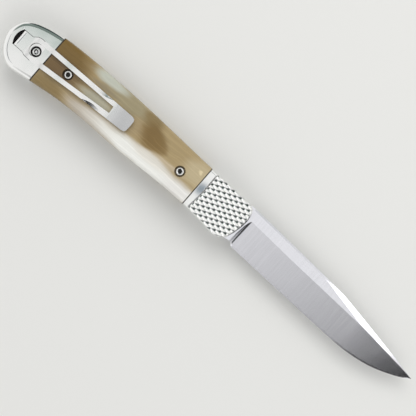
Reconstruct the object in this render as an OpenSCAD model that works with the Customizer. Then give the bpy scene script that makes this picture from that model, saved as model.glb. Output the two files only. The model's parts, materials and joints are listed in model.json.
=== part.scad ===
// Folding trapper knife: clip point blade on a caged bearing pivot, liner lock, full backspacer,
// polished rear bolsters, horn scales, diamond knurled front bolsters and a deep pocket clip.
// Millimetres. It lies on its show side with the clip side up. +X runs from the butt to the blade's
// tip and +Y from the edge to the back. The origin is under the middle of its length and depth.
// Inside the modules, x starts at the butt, y at the level of the blade's tip, and z at the
// middle of the blade's thickness. place() moves all of it to the origin above.

/* [Handle] */
// Length of the handle from the butt to the front end
handle_length = 101.6; // [94:0.1:110]
// Height of the handle's back above the level of the tip
back_rise = 10.86; // [10:0.01:12.5]
// Depth of the butt below the level of the tip
butt_drop = 9.55; // [8.8:0.01:11]
// Thickness of the scales and bolsters
slab_thickness = 2.9; // [2.6:0.1:4]
// Width of the rounded rim at the butt
rear_rim_width = 1.7; // [0.8:0.1:2]
// Width of the rounded rim at the front end
front_rim_width = 0.8; // [0.4:0.1:1.4]
// Gap at the joints between the scales and the bolsters
joint_gap = 0.12; // [0.05:0.01:0.3]

/* [Liners and backspacer] */
// Thickness of each liner
liner_thickness = 1.6; // [1.3:0.1:2.2]
// How far the liners' edges stand back from the scales' edges
liner_inset = 0.12; // [0:0.01:0.4]
// Gap between the closed edge and the backspacer
closed_gap = 0.7; // [0.4:0.1:1.1]
// Gap between the closed tip and the backspacer
tip_gap = 1.2; // [0.6:0.1:2]

/* [Bolsters] */
// Length of the rear bolster
rear_bolster_length = 16.1; // [14.5:0.1:18]
// Length of the front bolster
front_bolster_length = 19.95; // [18.5:0.05:22]
// Width of the plain band behind the knurling, at its widest
band_width = 2.7; // [1.5:0.1:4]
// Radius of the curved front edge of the plain band
band_edge_radius = 72; // [50:1:100]
// Height above the tip level at which the band's edge is furthest forward
band_edge_rise = 4; // [2:0.5:6]
// Width of the groove between the band and the knurling
band_groove_width = 0.8; // [0.4:0.05:1]
// Depth of the groove between the band and the knurling
band_groove_depth = 0.4; // [0.2:0.05:0.6]
// Distance between neighbouring grooves of the knurling
knurl_pitch = 1.58; // [1.3:0.01:2]
// Depth of the knurling
knurl_depth = 0.5; // [0.3:0.05:0.7]
// Width of the flat left on each diamond, between two grooves
knurl_land = 0.14; // [0.08:0.01:0.3]
// Half of the angle at which the two sets of grooves cross
knurl_half_angle = 28.9; // [25:0.1:35]
// Tilt of the knurling against the length of the handle
knurl_tilt = -5.2; // [-10:0.1:10]

/* [Blade] */
// Distance from the butt to the tip of the closed blade, which sets the blade's length
tip_room = 9; // [7:0.1:14]
// Thickness of the blade
blade_thickness = 3; // [2.4:0.1:3.8]
// Side gap between the blade and each liner
blade_gap = 0.3; // [0.2:0.05:0.5]
// Height of the blade's back above the tip, where it leaves the handle
blade_rise = 8.8; // [7.6:0.1:9]
// Depth of the belly below the tip
blade_drop = 7.55; // [6.4:0.05:8]
// Depth of the notch between the tang and the edge
notch_drop = 5.1; // [4.4:0.1:5.4]
// Thickness behind the cutting edge
edge_thickness = 0.5; // [0.3:0.05:0.8]
// Height of the sharpened bevel
edge_bevel = 0.6; // [0.3:0.05:1]
// Depth that the top bevel takes off each side for each millimetre of its width
swedge_slope = 0.42; // [0.3:0.01:0.5]
// Distance behind the handle's front end at which the grind begins
plunge_setback = 0.4; // [0.2:0.1:1]
// Length over which the grind reaches its full depth
plunge_length = 1.9; // [1.5:0.1:4]

/* [Tang and pivot] */
// Distance of the pivot from the front end of the handle
pivot_setback = 8.2; // [7.8:0.1:9.5]
// Radius of the pivot barrel
pivot_radius = 2.38; // [2:0.01:2.6]
// Running clearance between the pivot barrel and the blade
pivot_clearance = 0.05; // [0.02:0.01:0.08]
// Radius of the heads of the pivot barrel and screw
pivot_head_radius = 3.3; // [2.9:0.1:3.6]
// Thickness of those heads
pivot_head_height = 0.7; // [0.5:0.1:1]
// Radius of the pivot screw's thread
pivot_thread_radius = 1.5; // [1.2:0.05:1.7]
// Radius of the tang's round back
tang_radius = 7.5; // [7.2:0.1:7.9]
// Reach of the flipper tab from the pivot
tab_reach = 11; // [10:0.1:11.6]
// Distance of the stop pin from the pivot
stop_orbit = 5.9; // [5.8:0.05:6.1]
// Radius of the stop pin
stop_radius = 0.9; // [0.7:0.05:1]
// Clearance of the stop pin in the liners' slots
stop_clearance = 0.05; // [0.03:0.01:0.1]

/* [Bearings] */
// Diameter of the bearing balls
ball_diameter = 1.2; // [1:0.05:1.3]
// Number of balls in each bearing
ball_count = 9; // [7:1:10]
// Radius of the circle that the balls run on
ball_orbit = 3.42; // [3.3:0.01:3.5]
// Thickness of the bearing cage
cage_thickness = 0.8; // [0.6:0.05:0.9]
// Width of the cage ring
cage_width = 1.8; // [1.7:0.05:1.85]
// Gap between the cage and the seats it runs in
cage_gap = 0.15; // [0.1:0.01:0.2]

/* [Lock] */
// Length of the lock bar from its root to its tip
lock_length = 38; // [32:0.5:42]
// How far the tip of the lock bar springs in behind the tang
lock_travel = 1.3; // [1:0.05:1.6]
// Distance of the lock face behind the pivot
lock_setback = 3.4; // [3.2:0.05:3.8]
// Gap between the lock bar and the tang
lock_gap = 0.06; // [0.03:0.01:0.1]
// Width of the slot that frees the lock bar
lock_slot = 0.5; // [0.3:0.05:0.6]
// Level of the lock bar's upper edge below the tip, at its root
lock_root_drop = 1.7; // [1.4:0.1:2.2]
// Level of the lock bar's upper edge below the tip, at its end
lock_tip_drop = 2.95; // [2.8:0.05:3.3]
// Radius of the relief hole at the root of the lock bar
lock_relief_radius = 0.9; // [0.6:0.05:1.1]
// Length of the thinned stretch that bends
lock_flexure_length = 7; // [4:0.5:9]
// Depth that the thinned stretch is milled away
lock_flexure_depth = 0.8; // [0.5:0.05:1]
// Radius of the detent ball
detent_radius = 0.75; // [0.6:0.05:0.8]
// How far the detent ball stands out of the lock bar
detent_proud = 0.5; // [0.4:0.02:0.55]

/* [Screws] */
// Radius of the holes that the scale and bolster heads sit in
counterbore_radius = 1.9; // [1.7:0.05:2.2]
// Radius of the heads of the scale screws
scale_head_radius = 1.48; // [1.3:0.02:1.6]
// Radius of the head of the rear bolster screw
rear_head_radius = 1.35; // [1.2:0.05:1.6]
// Height of the heads
screw_head_height = 1; // [0.8:0.05:1.1]
// Thickness left under the heads
screw_seat = 1; // [0.8:0.05:1.2]
// Radius of the screws' threads
screw_thread_radius = 0.8; // [0.6:0.05:0.9]
// Radius across the corners of the hexagon sockets
socket_radius = 0.85; // [0.6:0.05:1]
// Depth of the hexagon sockets
socket_depth = 0.6; // [0.4:0.05:0.7]
// Radius of the countersunk heads that are hidden inside
hidden_head_radius = 1; // [0.9:0.05:1.1]
// Radius of the hidden screws' threads
hidden_thread_radius = 0.55; // [0.45:0.05:0.65]
// Depth that the hidden screws reach past the liners
hidden_screw_reach = 1.5; // [1:0.1:1.7]

/* [Pocket clip] */
// Distance of the clip's leg from the butt
clip_start = 4.1; // [3.8:0.1:4.6]
// Length of the clip
clip_length = 47.6; // [42:0.1:54]
// Width of the clip where it lies on the bolster
clip_width = 8.1; // [7.6:0.1:8.8]
// Thickness of the clip
clip_thickness = 0.9; // [0.7:0.05:1]
// Inside radius of the bend between the leg and the plate
clip_bend_radius = 0.4; // [0.3:0.05:0.5]
// Length of the foot that is trapped under the bolster
clip_foot_length = 4; // [3:0.1:4.4]
// Height of the clip's underside above the scale at its highest
clip_rise_height = 0.9; // [0.6:0.05:1.4]
// Height of the clip's underside above the scale at its end
clip_flare_height = 1; // [0.6:0.05:1.6]
// Length of the relief ground on the outer edge of each arm of the clip
clip_relief_length = 9; // [6:0.5:12]
// Width of that relief
clip_relief_width = 0.95; // [0.6:0.05:1.4]
// Depth of that relief at the edge
clip_relief_depth = 0.34; // [0.2:0.02:0.5]
// Gap round the clip in its seat
clip_gap = 0.15; // [0.12:0.01:0.25]
// Gap under the clip in its seat, and where it touches the scale
clip_seat_gap = 0.1; // [0.08:0.01:0.15]
// How far the clip stands out of its seat at the butt
clip_proud_height = 0.05; // [0:0.01:0.2]
// Length of the open end of the slot in front of the clip's leg
clip_slot_room = 1; // [0.8:0.05:1.3]
// Radius of the slot's curved end
clip_slot_radius = 5; // [4:0.1:7]

/* [Hidden] */
$fn = 48;

steel_colour = [0.72, 0.73, 0.75];
polished_colour = [0.88, 0.88, 0.89];
liner_colour = [0.6, 0.61, 0.63];
horn_colour = [0.63, 0.55, 0.42];
cage_colour = [0.2, 0.2, 0.22];
screw_colour = [0.8, 0.8, 0.8];

// Sides of the handle
show_side = -1;
clip_side = 1;

// Everything cut away runs past the surface that it cuts by this much
overrun = 2;

// Handle outline, clockwise from the butt. Shares of handle_length along x, and along y shares of
// back_rise above the tip level and of butt_drop below it
handle_shares = [
    [0, -0.042], [0.005, 0.23], [0.02, 0.5], [0.049, 0.69], [0.098, 0.84], [0.157, 0.934],
    [0.256, 0.986], [0.37, 1], [0.51, 0.98], [0.65, 0.925], [0.807, 0.866], [0.94, 0.83],
    [0.974, 0.808], [0.991, 0.71], [0.999, 0.497], [1, 0.276], [0.996, 0], [0.987, -0.335],
    [0.974, -0.597], [0.953, -0.722], [0.886, -0.682], [0.807, -0.628], [0.738, -0.604],
    [0.64, -0.638], [0.53, -0.69], [0.354, -0.691], [0.266, -0.738], [0.167, -0.868],
    [0.103, -0.979], [0.084, -1], [0.061, -0.953], [0.035, -0.775], [0.016, -0.524],
    [0.0045, -0.251]];
outline_steps = 3;

// Rounded rim of the slabs: share of the rim's width drawn in, at a share of the slab's thickness.
// It runs past both faces of the slab, which are cut flat.
rim_shares = [
    [0, -0.2], [0, 0.45], [0.1, 0.66], [0.3, 0.82], [0.62, 0.935], [1, 0.99], [1.3, 1.015]];

// Blade outlines: share of blade_length from the handle, and share of blade_rise or blade_drop
spine_shares = [
    [-0.02, 1.008], [0, 1], [0.11, 0.955], [0.24, 0.892], [0.37, 0.83], [0.5, 0.757],
    [0.54, 0.73], [0.6, 0.645], [0.7, 0.495], [0.8, 0.34], [0.9, 0.178], [1, 0]];
edge_shares = [
    [0.018, 0.815], [0.11, 0.843], [0.24, 0.887], [0.37, 0.927], [0.5, 0.966], [0.57, 0.986],
    [0.635, 1], [0.7, 0.98], [0.766, 0.9], [0.832, 0.762], [0.898, 0.53], [0.963, 0.232], [1, 0]];
grind_shares = [
    [0.02, 0.54], [0.137, 0.5], [0.24, 0.434], [0.37, 0.376], [0.5, 0.334], [0.635, 0.3],
    [0.7, 0.262], [0.766, 0.21], [0.832, 0.153], [0.898, 0.1], [0.963, 0.042], [1, 0]];
swedge_shares = [
    [0, 0.966], [0.34, 0.81], [0.372, 0.785], [0.438, 0.716], [0.504, 0.602], [0.57, 0.489],
    [0.635, 0.37], [0.675, 0.305], [0.74, 0.252], [0.832, 0.168], [0.898, 0.114], [0.963, 0.055],
    [1, 0.012]];
swedge_start_share = 0.034;
// Rings of the blade where its sides drop from the full thickness to the grind: share of the plunge's
// length, then how much of the grind's height, edge thinning and heel depth each ring has
plunge_shares = [
    [0, 0.03, 0, 0], [0.2, 0.42, 0.3, 0], [0.4, 0.7, 0.62, 0.02], [0.58, 0.86, 0.86, 0.22],
    [0.78, 0.96, 0.96, 0.72]];
// Most that the grind and the top bevel may take of the blade's depth, near the tip
grind_cap_share = 0.9;
swedge_cap_share = 0.96;
bevel_cap_share = 0.3;
// Flat left along the ridge where the grind and the top bevel meet, as a share of the blade's thickness
ridge_share = 0.04;
// Where the grind is shallowest, which sets its slope
grind_slope_share = 0.635;
blade_rings = 30;
// How strongly the rings gather towards the tip
blade_ring_power = 1.5;
// Flat left at the very tip, as a share of the edge thickness
tip_flat_share = 0.2;

// Tang outline in shares of its radius, then of the flipper tab's reach
tang_back_angles = [100:8:148];
tang_top_shares = [[0.42, 1.155], [0.16, 1.12]];
tab_shares = [[-0.8, 0.24], [-0.95, 0.172], [-0.995, 0.04], [-0.965, -0.1], [-0.79, -0.19], [-0.42, -0.21]];
tang_belly_shares = [[-0.36, -0.855], [0.13, -0.88], [0.5, -0.83], [0.76, -0.74]];
notch_share = 0.93;
// Top and bottom of the lock face, as shares of the tang's radius
lock_face_shares = [-0.35, -0.83];
// Place of the detent ball with the bar pressed back, in shares of the tang's radius
detent_share = [-0.85, -0.57];
// Angle of the stop pin behind the pivot with the blade open, and the half turn that it makes
stop_angle = 184;
blade_travel = 180;

// Places of the screws, as shares of handle_length and back_rise or butt_drop
rear_screw_share = [0.116, 0.028];
scale_screw_shares = [[0.244, 0.138], [0.727, 0.152]];
backspacer_screw_shares = [0.13, 0.42, 0.72];
butt_screw_share = [0.069, -0.565];
// Places of the two hidden screws of the front bolster, in shares of the tang's radius
bolster_screw_shares = [[-0.9, 0.82], [0.52, -0.62]];

// Clip outline in shares of its length and width, clockwise from its leg's lower corner
clip_shares = [
    [0, -0.32], [0, -0.31], [0, 0.395], [0, 0.405], [0.002, 0.405], [0.082, 0.415],
    [0.112, 0.552], [0.135, 0.588], [0.25, 0.598], [0.44, 0.605], [0.7, 0.615], [0.9, 0.62],
    [0.965, 0.62], [0.99, 0.585], [0.998, 0.5],
    [1, 0.26], [0.998, 0.02], [0.99, -0.07], [0.965, -0.105], [0.93, -0.115], [0.82, -0.15],
    [0.65, -0.198], [0.545, -0.235], [0.44, -0.284], [0.334, -0.34], [0.25, -0.383],
    [0.166, -0.4], [0.115, -0.385], [0.086, -0.325], [0.002, -0.32]];
// Window between the clip's two arms: rounded rear end, then its corners
clip_window_centre_share = [0.158, 0.085];
clip_window_radius_share = 0.31;
clip_window_shares = [
    [0.158, 0.395], [0.44, 0.405], [0.823, 0.414], [0.828, 0.1], [0.7, 0.04], [0.545, -0.037],
    [0.44, -0.086], [0.25, -0.172], [0.158, -0.225]];
// Middle of the relief on each arm: shares of the clip's length and width, and turn in degrees
clip_relief_shares = [[0.704, 0.615, 0], [0.704, -0.183, 4]];
// Side view of the clip: share of its length, and share of clip_rise_height or clip_flare_height
clip_side_shares = [[0.225, 0.45], [0.34, 0.9], [0.5, 1], [0.7, 0.5]];
clip_flat_share = 0.094;
clip_ramp_share = 0.112;
clip_contact_share = 0.825;
clip_side_steps = 26;

pivot_x = handle_length - pivot_setback;
handle_tip = 2 * pivot_x - tip_room;
blade_length = handle_tip - handle_length;
channel_half = blade_thickness / 2 + blade_gap;
slab_base = channel_half + liner_thickness;
half_stack = slab_base + slab_thickness;
scale_start = rear_bolster_length + joint_gap;
front_bolster_start = handle_length - front_bolster_length;
scale_end = front_bolster_start - joint_gap;

function scaled(share) = [share.x * handle_length, share.y * (share.y > 0 ? back_rise : butt_drop)];
function ring_point(ring, i) = ring[(i + len(ring)) % len(ring)];

// Direction of a smooth closed curve at one of its points
function ring_direction(ring, i) =
    let (back = ring[i] - ring_point(ring, i - 1), ahead = ring_point(ring, i + 1) - ring[i])
    (back / norm(back) * norm(ahead) + ahead / norm(ahead) * norm(back)) / (norm(back) + norm(ahead));

// Smooth closed curve through the points, with this many steps between two of them
function smooth_ring(ring, steps) = [
    for (i = [0:len(ring) - 1], k = [0:steps - 1])
    let (
        t = k / steps,
        j = (i + 1) % len(ring),
        w = norm(ring[j] - ring[i])
    )
    (2 * t ^ 3 - 3 * t ^ 2 + 1) * ring[i] + (t ^ 3 - 2 * t ^ 2 + t) * w * ring_direction(ring, i)
        + (3 * t ^ 2 - 2 * t ^ 3) * ring[j] + (t ^ 3 - t ^ 2) * w * ring_direction(ring, j)];

// The ring drawn inwards, by one amount at the butt and another at the front end
function inset_ring(ring, at_butt, at_front) = [
    for (i = [0:len(ring) - 1])
    let (
        along = ring_point(ring, i + 1) - ring_point(ring, i - 1),
        share = ring[i].x / handle_length
    )
    ring[i] + [along.y, -along.x] / norm(along) * (at_butt * (1 - share) + at_front * share)];

// Height at x of a smooth curve through points that run from left to right
function rise(p, i) = (p[i + 1].y - p[i].y) / (p[i + 1].x - p[i].x);
function slope(p, i) =
    i == 0 ? rise(p, 0)
    : i == len(p) - 1 ? rise(p, i - 1)
    : let (a = p[i].x - p[i - 1].x, b = p[i + 1].x - p[i].x)
    (b * rise(p, i - 1) + a * rise(p, i)) / (a + b);
function segment(p, x, i = 0) = i >= len(p) - 2 || x < p[i + 1].x ? i : segment(p, x, i + 1);
function height_at(p, x) =
    let (i = segment(p, x), w = p[i + 1].x - p[i].x, t = (x - p[i].x) / w)
    (2 * t ^ 3 - 3 * t ^ 2 + 1) * p[i].y + (t ^ 3 - 2 * t ^ 2 + t) * w * slope(p, i)
        + (3 * t ^ 2 - 2 * t ^ 3) * p[i + 1].y + (t ^ 3 - t ^ 2) * w * slope(p, i + 1);

handle_outline = smooth_ring([for (share = handle_shares) scaled(share)], outline_steps);
liner_outline = inset_ring(handle_outline, liner_inset, liner_inset);
butt_x = min([for (p = handle_outline) p.x]);
outline_top = max([for (p = handle_outline) p.y]);
outline_bottom = min([for (p = handle_outline) p.y]);

// Moves the knife to its own origin
module place() {
    translate([-(butt_x + handle_tip) / 2, -(outline_top + outline_bottom) / 2, half_stack])
        children();
}

// Draws what lies on one side of the handle, with z = 0 at the given distance from the middle
module on_side(side, distance) {
    mirror([0, 0, side < 0 ? 1 : 0])
        translate([0, 0, distance])
            children();
}

// Solid through rings of points that are clockwise when seen from the end they run to. Ends of
// convex rings with points in line are closed by triangles that all meet in the first point.
module loft(rings, meet_in_first = false) {
    n = len(rings[0]);
    last = (len(rings) - 1) * n;
    ends = meet_in_first
        ? [for (i = [1:n - 2]) each [[0, i + 1, i], [last, last + i, last + i + 1]]]
        : [[for (i = [n - 1:-1:0]) i], [for (i = [0:n - 1]) last + i]];
    polyhedron(
        points = [for (ring = rings) each ring],
        faces = concat(
            ends,
            [for (k = [0:n:last - n], i = [0:n - 1])
                let (a = k + i, b = k + (i + 1) % n)
                each [[a, b, b + n], [a, b + n, a + n]]]));
}

// Part of one side of the handle between two places along it, with its rounded rim
module slab_part(from, to) {
    intersection() {
        loft([for (share = rim_shares)
            [for (p = inset_ring(handle_outline, share.x * rear_rim_width, share.x * front_rim_width))
                [p.x, p.y, share.y * slab_thickness]]]);
        translate([from, -butt_drop - overrun, 0])
            cube([to - from, back_rise + butt_drop + 2 * overrun, slab_thickness]);
    }
}

module liner_blank() {
    linear_extrude(liner_thickness)
        polygon(liner_outline);
}

// Screw heads and their holes
module screw_hole(place, clearance) {
    translate([place.x, place.y, -overrun])
        cylinder(h = slab_thickness + 2 * overrun, r = screw_thread_radius + clearance);
    translate([place.x, place.y, screw_seat])
        cylinder(h = slab_thickness + overrun, r = counterbore_radius);
}

screw_clearance = 0.05;
head_chamfer_share = 0.25;

module cap_screw(place, head_radius) {
    chamfer = screw_head_height * head_chamfer_share;
    translate([place.x, place.y, screw_seat])
        difference() {
            union() {
                cylinder(h = screw_head_height - chamfer, r = head_radius);
                translate([0, 0, screw_head_height - chamfer])
                    cylinder(h = chamfer, r1 = head_radius, r2 = head_radius - chamfer);
                translate([0, 0, screw_clearance - screw_seat - liner_thickness])
                    cylinder(h = screw_seat + liner_thickness, r = screw_thread_radius);
            }
            translate([0, 0, screw_head_height - socket_depth])
                cylinder(h = socket_depth + overrun, r = socket_radius, $fn = 6);
        }
}

// Countersunk screw or its hole, head at z = 0 and thread upwards
module hidden_screw(reach, clearance) {
    head_depth = hidden_head_radius - hidden_thread_radius;
    cylinder(h = head_depth, r1 = hidden_head_radius, r2 = hidden_thread_radius);
    cylinder(h = reach, r = hidden_thread_radius);
    if (clearance > 0)
        translate([0, 0, -clearance])
            cylinder(h = clearance, r = hidden_head_radius);
}

hidden_socket_share = 0.45;

module hidden_group(places, reach) {
    for (place = places)
        translate([place.x, place.y, 0])
            difference() {
                hidden_screw(reach, 0);
                translate([0, 0, -overrun])
                    cylinder(
                        h = overrun + (hidden_head_radius - hidden_thread_radius),
                        r = hidden_head_radius * hidden_socket_share,
                        $fn = 6);
            }
}

module hidden_holes(places, reach) {
    for (place = places)
        translate([place.x, place.y, 0])
            hidden_screw(reach, overrun);
}

// Blade outlines along its length
function blade_point(share, size) = [handle_length + share.x * blade_length, share.y * size];
spine_line = [for (share = spine_shares) blade_point(share, blade_rise)];
edge_line = [for (share = edge_shares) blade_point(share, -blade_drop)];
grind_line = [for (share = grind_shares) blade_point(share, blade_rise)];
swedge_line = [for (share = swedge_shares) blade_point(share, blade_rise)];

blade_half = blade_thickness / 2;
edge_half = edge_thickness / 2;
plunge_x = handle_length - plunge_setback;
grind_x = plunge_x + plunge_length;
grind_slope_x = handle_length + grind_slope_share * blade_length;
grind_slope = (blade_half - edge_half)
    / (height_at(grind_line, grind_slope_x) - height_at(edge_line, grind_slope_x));
swedge_start = swedge_start_share * blade_rise;
ridge_land = ridge_share * blade_thickness;

// Section of the blade at x: how far the grind, the edge's thinning and the heel have come there
function blade_ring(place_x, x, grind, thinning, heel) =
    let (
        spine_y = height_at(spine_line, x),
        heel_y = height_at(edge_line, max(x, edge_line[0].x)),
        edge_y = -notch_drop + heel * (heel_y + notch_drop),
        depth = spine_y - edge_y,
        bevel_y = edge_y + min(thinning * edge_bevel, bevel_cap_share * depth),
        bevel_half = blade_half - thinning * (blade_half - edge_half),
        full_y = height_at(grind_line, max(x, grind_line[0].x)),
        grind_y = min(bevel_y + grind * (full_y - bevel_y), edge_y + grind_cap_share * depth),
        ridge_half = grind < 1 ? blade_half
            : min(blade_half, edge_half + grind_slope * (grind_y - edge_y)),
        swedge_y = min(
            max(height_at(swedge_line, x), grind_y + ridge_land),
            edge_y + swedge_cap_share * depth),
        spine_half = ridge_half - swedge_slope * max(0, spine_y - swedge_y - swedge_start)
    )
    [
        [place_x, edge_y, 0],
        [place_x, bevel_y, bevel_half],
        [place_x, grind_y, ridge_half],
        [place_x, swedge_y, ridge_half],
        [place_x, spine_y, spine_half],
        [place_x, spine_y, -spine_half],
        [place_x, swedge_y, -ridge_half],
        [place_x, grind_y, -ridge_half],
        [place_x, bevel_y, -bevel_half]];

tip_flat = edge_thickness * tip_flat_share;
blade_sections = concat(
    [for (s = plunge_shares)
        blade_ring(plunge_x + s[0] * plunge_length, plunge_x + s[0] * plunge_length, s[1], s[2], s[3])],
    [for (i = [0:blade_rings - 1])
        let (x = grind_x + (handle_tip - grind_x) * (1 - (1 - i / blade_rings) ^ blade_ring_power))
        blade_ring(x, x, 1, 1, 1)],
    [blade_ring(handle_tip, handle_tip - tip_flat, 1, 1, 1)]);

pivot = [pivot_x, 0];
function from_pivot(share, size) = pivot + share * size;
function at_angle(angle, radius) = pivot + radius * [cos(angle), sin(angle)];
function half_turned(place) = 2 * pivot - place;

lock_face_x = pivot_x - lock_setback;
detent_place = from_pivot(detent_share, tang_radius);
stop_place = at_angle(stop_angle, stop_orbit);
bearing_seat_depth = (ball_diameter - blade_gap) / 2;
bearing_seat_radius = ball_orbit + cage_width / 2 + cage_gap;

tang_outline = concat(
    [[plunge_x, height_at(spine_line, plunge_x)]],
    [for (share = tang_top_shares) from_pivot(share, tang_radius)],
    [for (angle = tang_back_angles) at_angle(angle, tang_radius)],
    [for (share = tab_shares) from_pivot(share, tab_reach)],
    [for (share = lock_face_shares) [lock_face_x, share * tang_radius]],
    [for (share = tang_belly_shares) from_pivot(share, tang_radius)],
    [[pivot_x + notch_share * tang_radius, -notch_drop], [plunge_x, -notch_drop]]);

module bearing_seat(height) {
    translate([pivot_x, 0, height])
        cylinder(h = bearing_seat_depth + overrun, r = bearing_seat_radius);
}

module blade() {
    color(steel_colour)
        place()
            difference() {
                union() {
                    loft(blade_sections, meet_in_first = true);
                    translate([0, 0, -blade_half])
                        linear_extrude(blade_thickness)
                            polygon(tang_outline);
                }
                translate([pivot_x, 0, -blade_half - overrun])
                    cylinder(h = blade_thickness + 2 * overrun, r = pivot_radius + pivot_clearance);
                translate([stop_place.x, stop_place.y, -blade_half - overrun])
                    cylinder(h = blade_thickness + 2 * overrun, r = stop_radius);
                for (side = [show_side, clip_side])
                    on_side(side, 0)
                        bearing_seat(blade_half - bearing_seat_depth);
                translate([
                    half_turned(detent_place).x,
                    half_turned(detent_place).y,
                    blade_half - detent_proud])
                    cylinder(h = detent_proud + overrun, r = detent_radius);
            }
}

pin_end_gap = 0.1;

module stop_pin() {
    color(screw_colour)
        place()
            translate([stop_place.x, stop_place.y, pin_end_gap - slab_base])
                cylinder(h = 2 * (slab_base - pin_end_gap), r = stop_radius);
}

// Pivot, with its heads in pockets under the bolsters
pivot_bore_share = 0.8;
pivot_thread_share = 0.7;
pivot_socket_share = 0.45;
pivot_seat_clearance = 0.02;
head_pocket_gap = 0.15;

module pivot_barrel() {
    color(screw_colour)
        place()
            difference() {
                union() {
                    translate([pivot_x, 0, -slab_base - pivot_head_height])
                        cylinder(h = pivot_head_height, r = pivot_head_radius);
                    translate([pivot_x, 0, -slab_base])
                        cylinder(h = 2 * slab_base - pin_end_gap, r = pivot_radius);
                }
                translate([pivot_x, 0, slab_base - 2 * slab_base * pivot_bore_share])
                    cylinder(h = 2 * slab_base, r = pivot_thread_radius);
            }
}

module pivot_screw() {
    color(screw_colour)
        place()
            translate([pivot_x, 0, slab_base])
                difference() {
                    union() {
                        cylinder(h = pivot_head_height, r = pivot_head_radius);
                        translate([0, 0, -2 * slab_base * pivot_thread_share])
                            cylinder(h = 2 * slab_base * pivot_thread_share, r = pivot_thread_radius);
                    }
                    cylinder(
                        h = pivot_head_height + overrun,
                        r = pivot_head_radius * pivot_socket_share,
                        $fn = 6);
                }
}

// Caged ball bearings, one on each side of the tang
ball_clearance = 0.01;
ball_pocket_gap = 0.06;
bearing_level = blade_half + blade_gap / 2;

module at_each_ball() {
    for (i = [0:ball_count - 1])
        rotate([0, 0, i * 360 / ball_count])
            translate([ball_orbit, 0, 0])
                children();
}

module bearing_cage(side) {
    color(cage_colour)
        place()
            on_side(side, bearing_level - cage_thickness / 2)
                translate([pivot_x, 0, 0])
                    difference() {
                        cylinder(h = cage_thickness, r = ball_orbit + cage_width / 2);
                        translate([0, 0, -overrun])
                            cylinder(h = cage_thickness + 2 * overrun, r = ball_orbit - cage_width / 2);
                        translate([0, 0, -overrun])
                            at_each_ball()
                                cylinder(
                                    h = cage_thickness + 2 * overrun,
                                    r = ball_diameter / 2 + ball_pocket_gap);
                    }
}

module bearing_balls(side) {
    color(screw_colour)
        place()
            on_side(side, bearing_level)
                translate([pivot_x, 0, 0])
                    at_each_ball()
                        sphere(r = ball_diameter / 2 - ball_clearance);
}

// Room that the closed blade needs between the liners, below a line that follows its edge
swing_radius = max(tab_reach, norm([edge_line[0].x - pivot_x, edge_line[0].y])) + closed_gap;
backspacer_front_y = closed_gap - edge_line[0].y;
backspacer_front_x = pivot_x - sqrt(swing_radius ^ 2 - backspacer_front_y ^ 2);
closed_steps = 24;

function over_closed_edge(x) = closed_gap - height_at(edge_line, 2 * pivot_x - x);

closed_room = concat(
    [for (i = [0:closed_steps])
        let (x = backspacer_front_x + (tip_room - backspacer_front_x) * i / closed_steps)
        [x, over_closed_edge(x)]],
    [[tip_room - tip_gap, 0], [tip_room - tip_gap, -butt_drop - overrun],
        [handle_length + overrun, -butt_drop - overrun], [handle_length + overrun, back_rise + overrun],
        [backspacer_front_x, back_rise + overrun]]);

// The handle's back is what rises above this share of back_rise, and the backspacer's screws stand
// part of the way up to it
back_line_share = 0.4;
back_line = [for (share = handle_shares) if (share.y > back_line_share) scaled(share)];
band_height_share = 0.45;
backspacer_screws = [
    for (share = backspacer_screw_shares)
    let (x = share * handle_length, low = over_closed_edge(x))
    [x, low + (height_at(back_line, x) - low) * band_height_share]];

module backspacer() {
    color(liner_colour)
        place()
            difference() {
                translate([0, 0, -channel_half])
                    linear_extrude(2 * channel_half)
                        polygon(liner_outline);
                translate([0, 0, -channel_half - overrun])
                    linear_extrude(2 * (channel_half + overrun))
                        polygon(closed_room);
                for (side = [show_side, clip_side])
                    on_side(side, slab_base)
                        mirror([0, 0, 1])
                            hidden_holes(backspacer_screws, liner_thickness + hidden_screw_reach);
            }
}

module backspacer_screws(side) {
    color(screw_colour)
        place()
            on_side(side, slab_base)
                mirror([0, 0, 1])
                    hidden_group(backspacer_screws, liner_thickness + hidden_screw_reach);
}

bolster_screws = concat(
    [for (share = bolster_screw_shares) from_pivot(share, tang_radius)],
    [scaled(butt_screw_share)]);

module bolster_screws(side) {
    color(screw_colour)
        place()
            on_side(side, channel_half)
                hidden_group(bolster_screws, liner_thickness + hidden_screw_reach);
}

rear_screw_place = scaled(rear_screw_share);
scale_screw_places = [for (share = scale_screw_shares) scaled(share)];

// Arc in each liner that the stop pin runs in
module stop_slot() {
    half_width = stop_radius + stop_clearance;
    translate([pivot_x, 0, -overrun])
        rotate([0, 0, stop_angle - blade_travel])
            rotate_extrude(angle = blade_travel)
                translate([stop_orbit - half_width, 0])
                    square([2 * half_width, liner_thickness + 2 * overrun]);
    for (angle = [stop_angle, stop_angle - blade_travel])
        translate([at_angle(angle, stop_orbit).x, at_angle(angle, stop_orbit).y, -overrun])
            cylinder(h = liner_thickness + 2 * overrun, r = half_width);
}

// Liner, with z = 0 on its inner face
module liner_plate() {
    difference() {
        liner_blank();
        translate([pivot_x, 0, -overrun])
            cylinder(h = liner_thickness + 2 * overrun, r = pivot_radius + pivot_seat_clearance);
        mirror([0, 0, 1])
            bearing_seat(-bearing_seat_depth);
        stop_slot();
        for (place = concat([rear_screw_place], scale_screw_places))
            translate([place.x, place.y, -overrun])
                cylinder(h = liner_thickness + 2 * overrun, r = screw_thread_radius);
        hidden_holes(bolster_screws, liner_thickness + hidden_screw_reach);
        translate([0, 0, liner_thickness])
            mirror([0, 0, 1])
                hidden_holes(backspacer_screws, liner_thickness + hidden_screw_reach);
    }
}

module liner_left() {
    color(liner_colour)
        place()
            on_side(show_side, channel_half)
                liner_plate();
}

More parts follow.
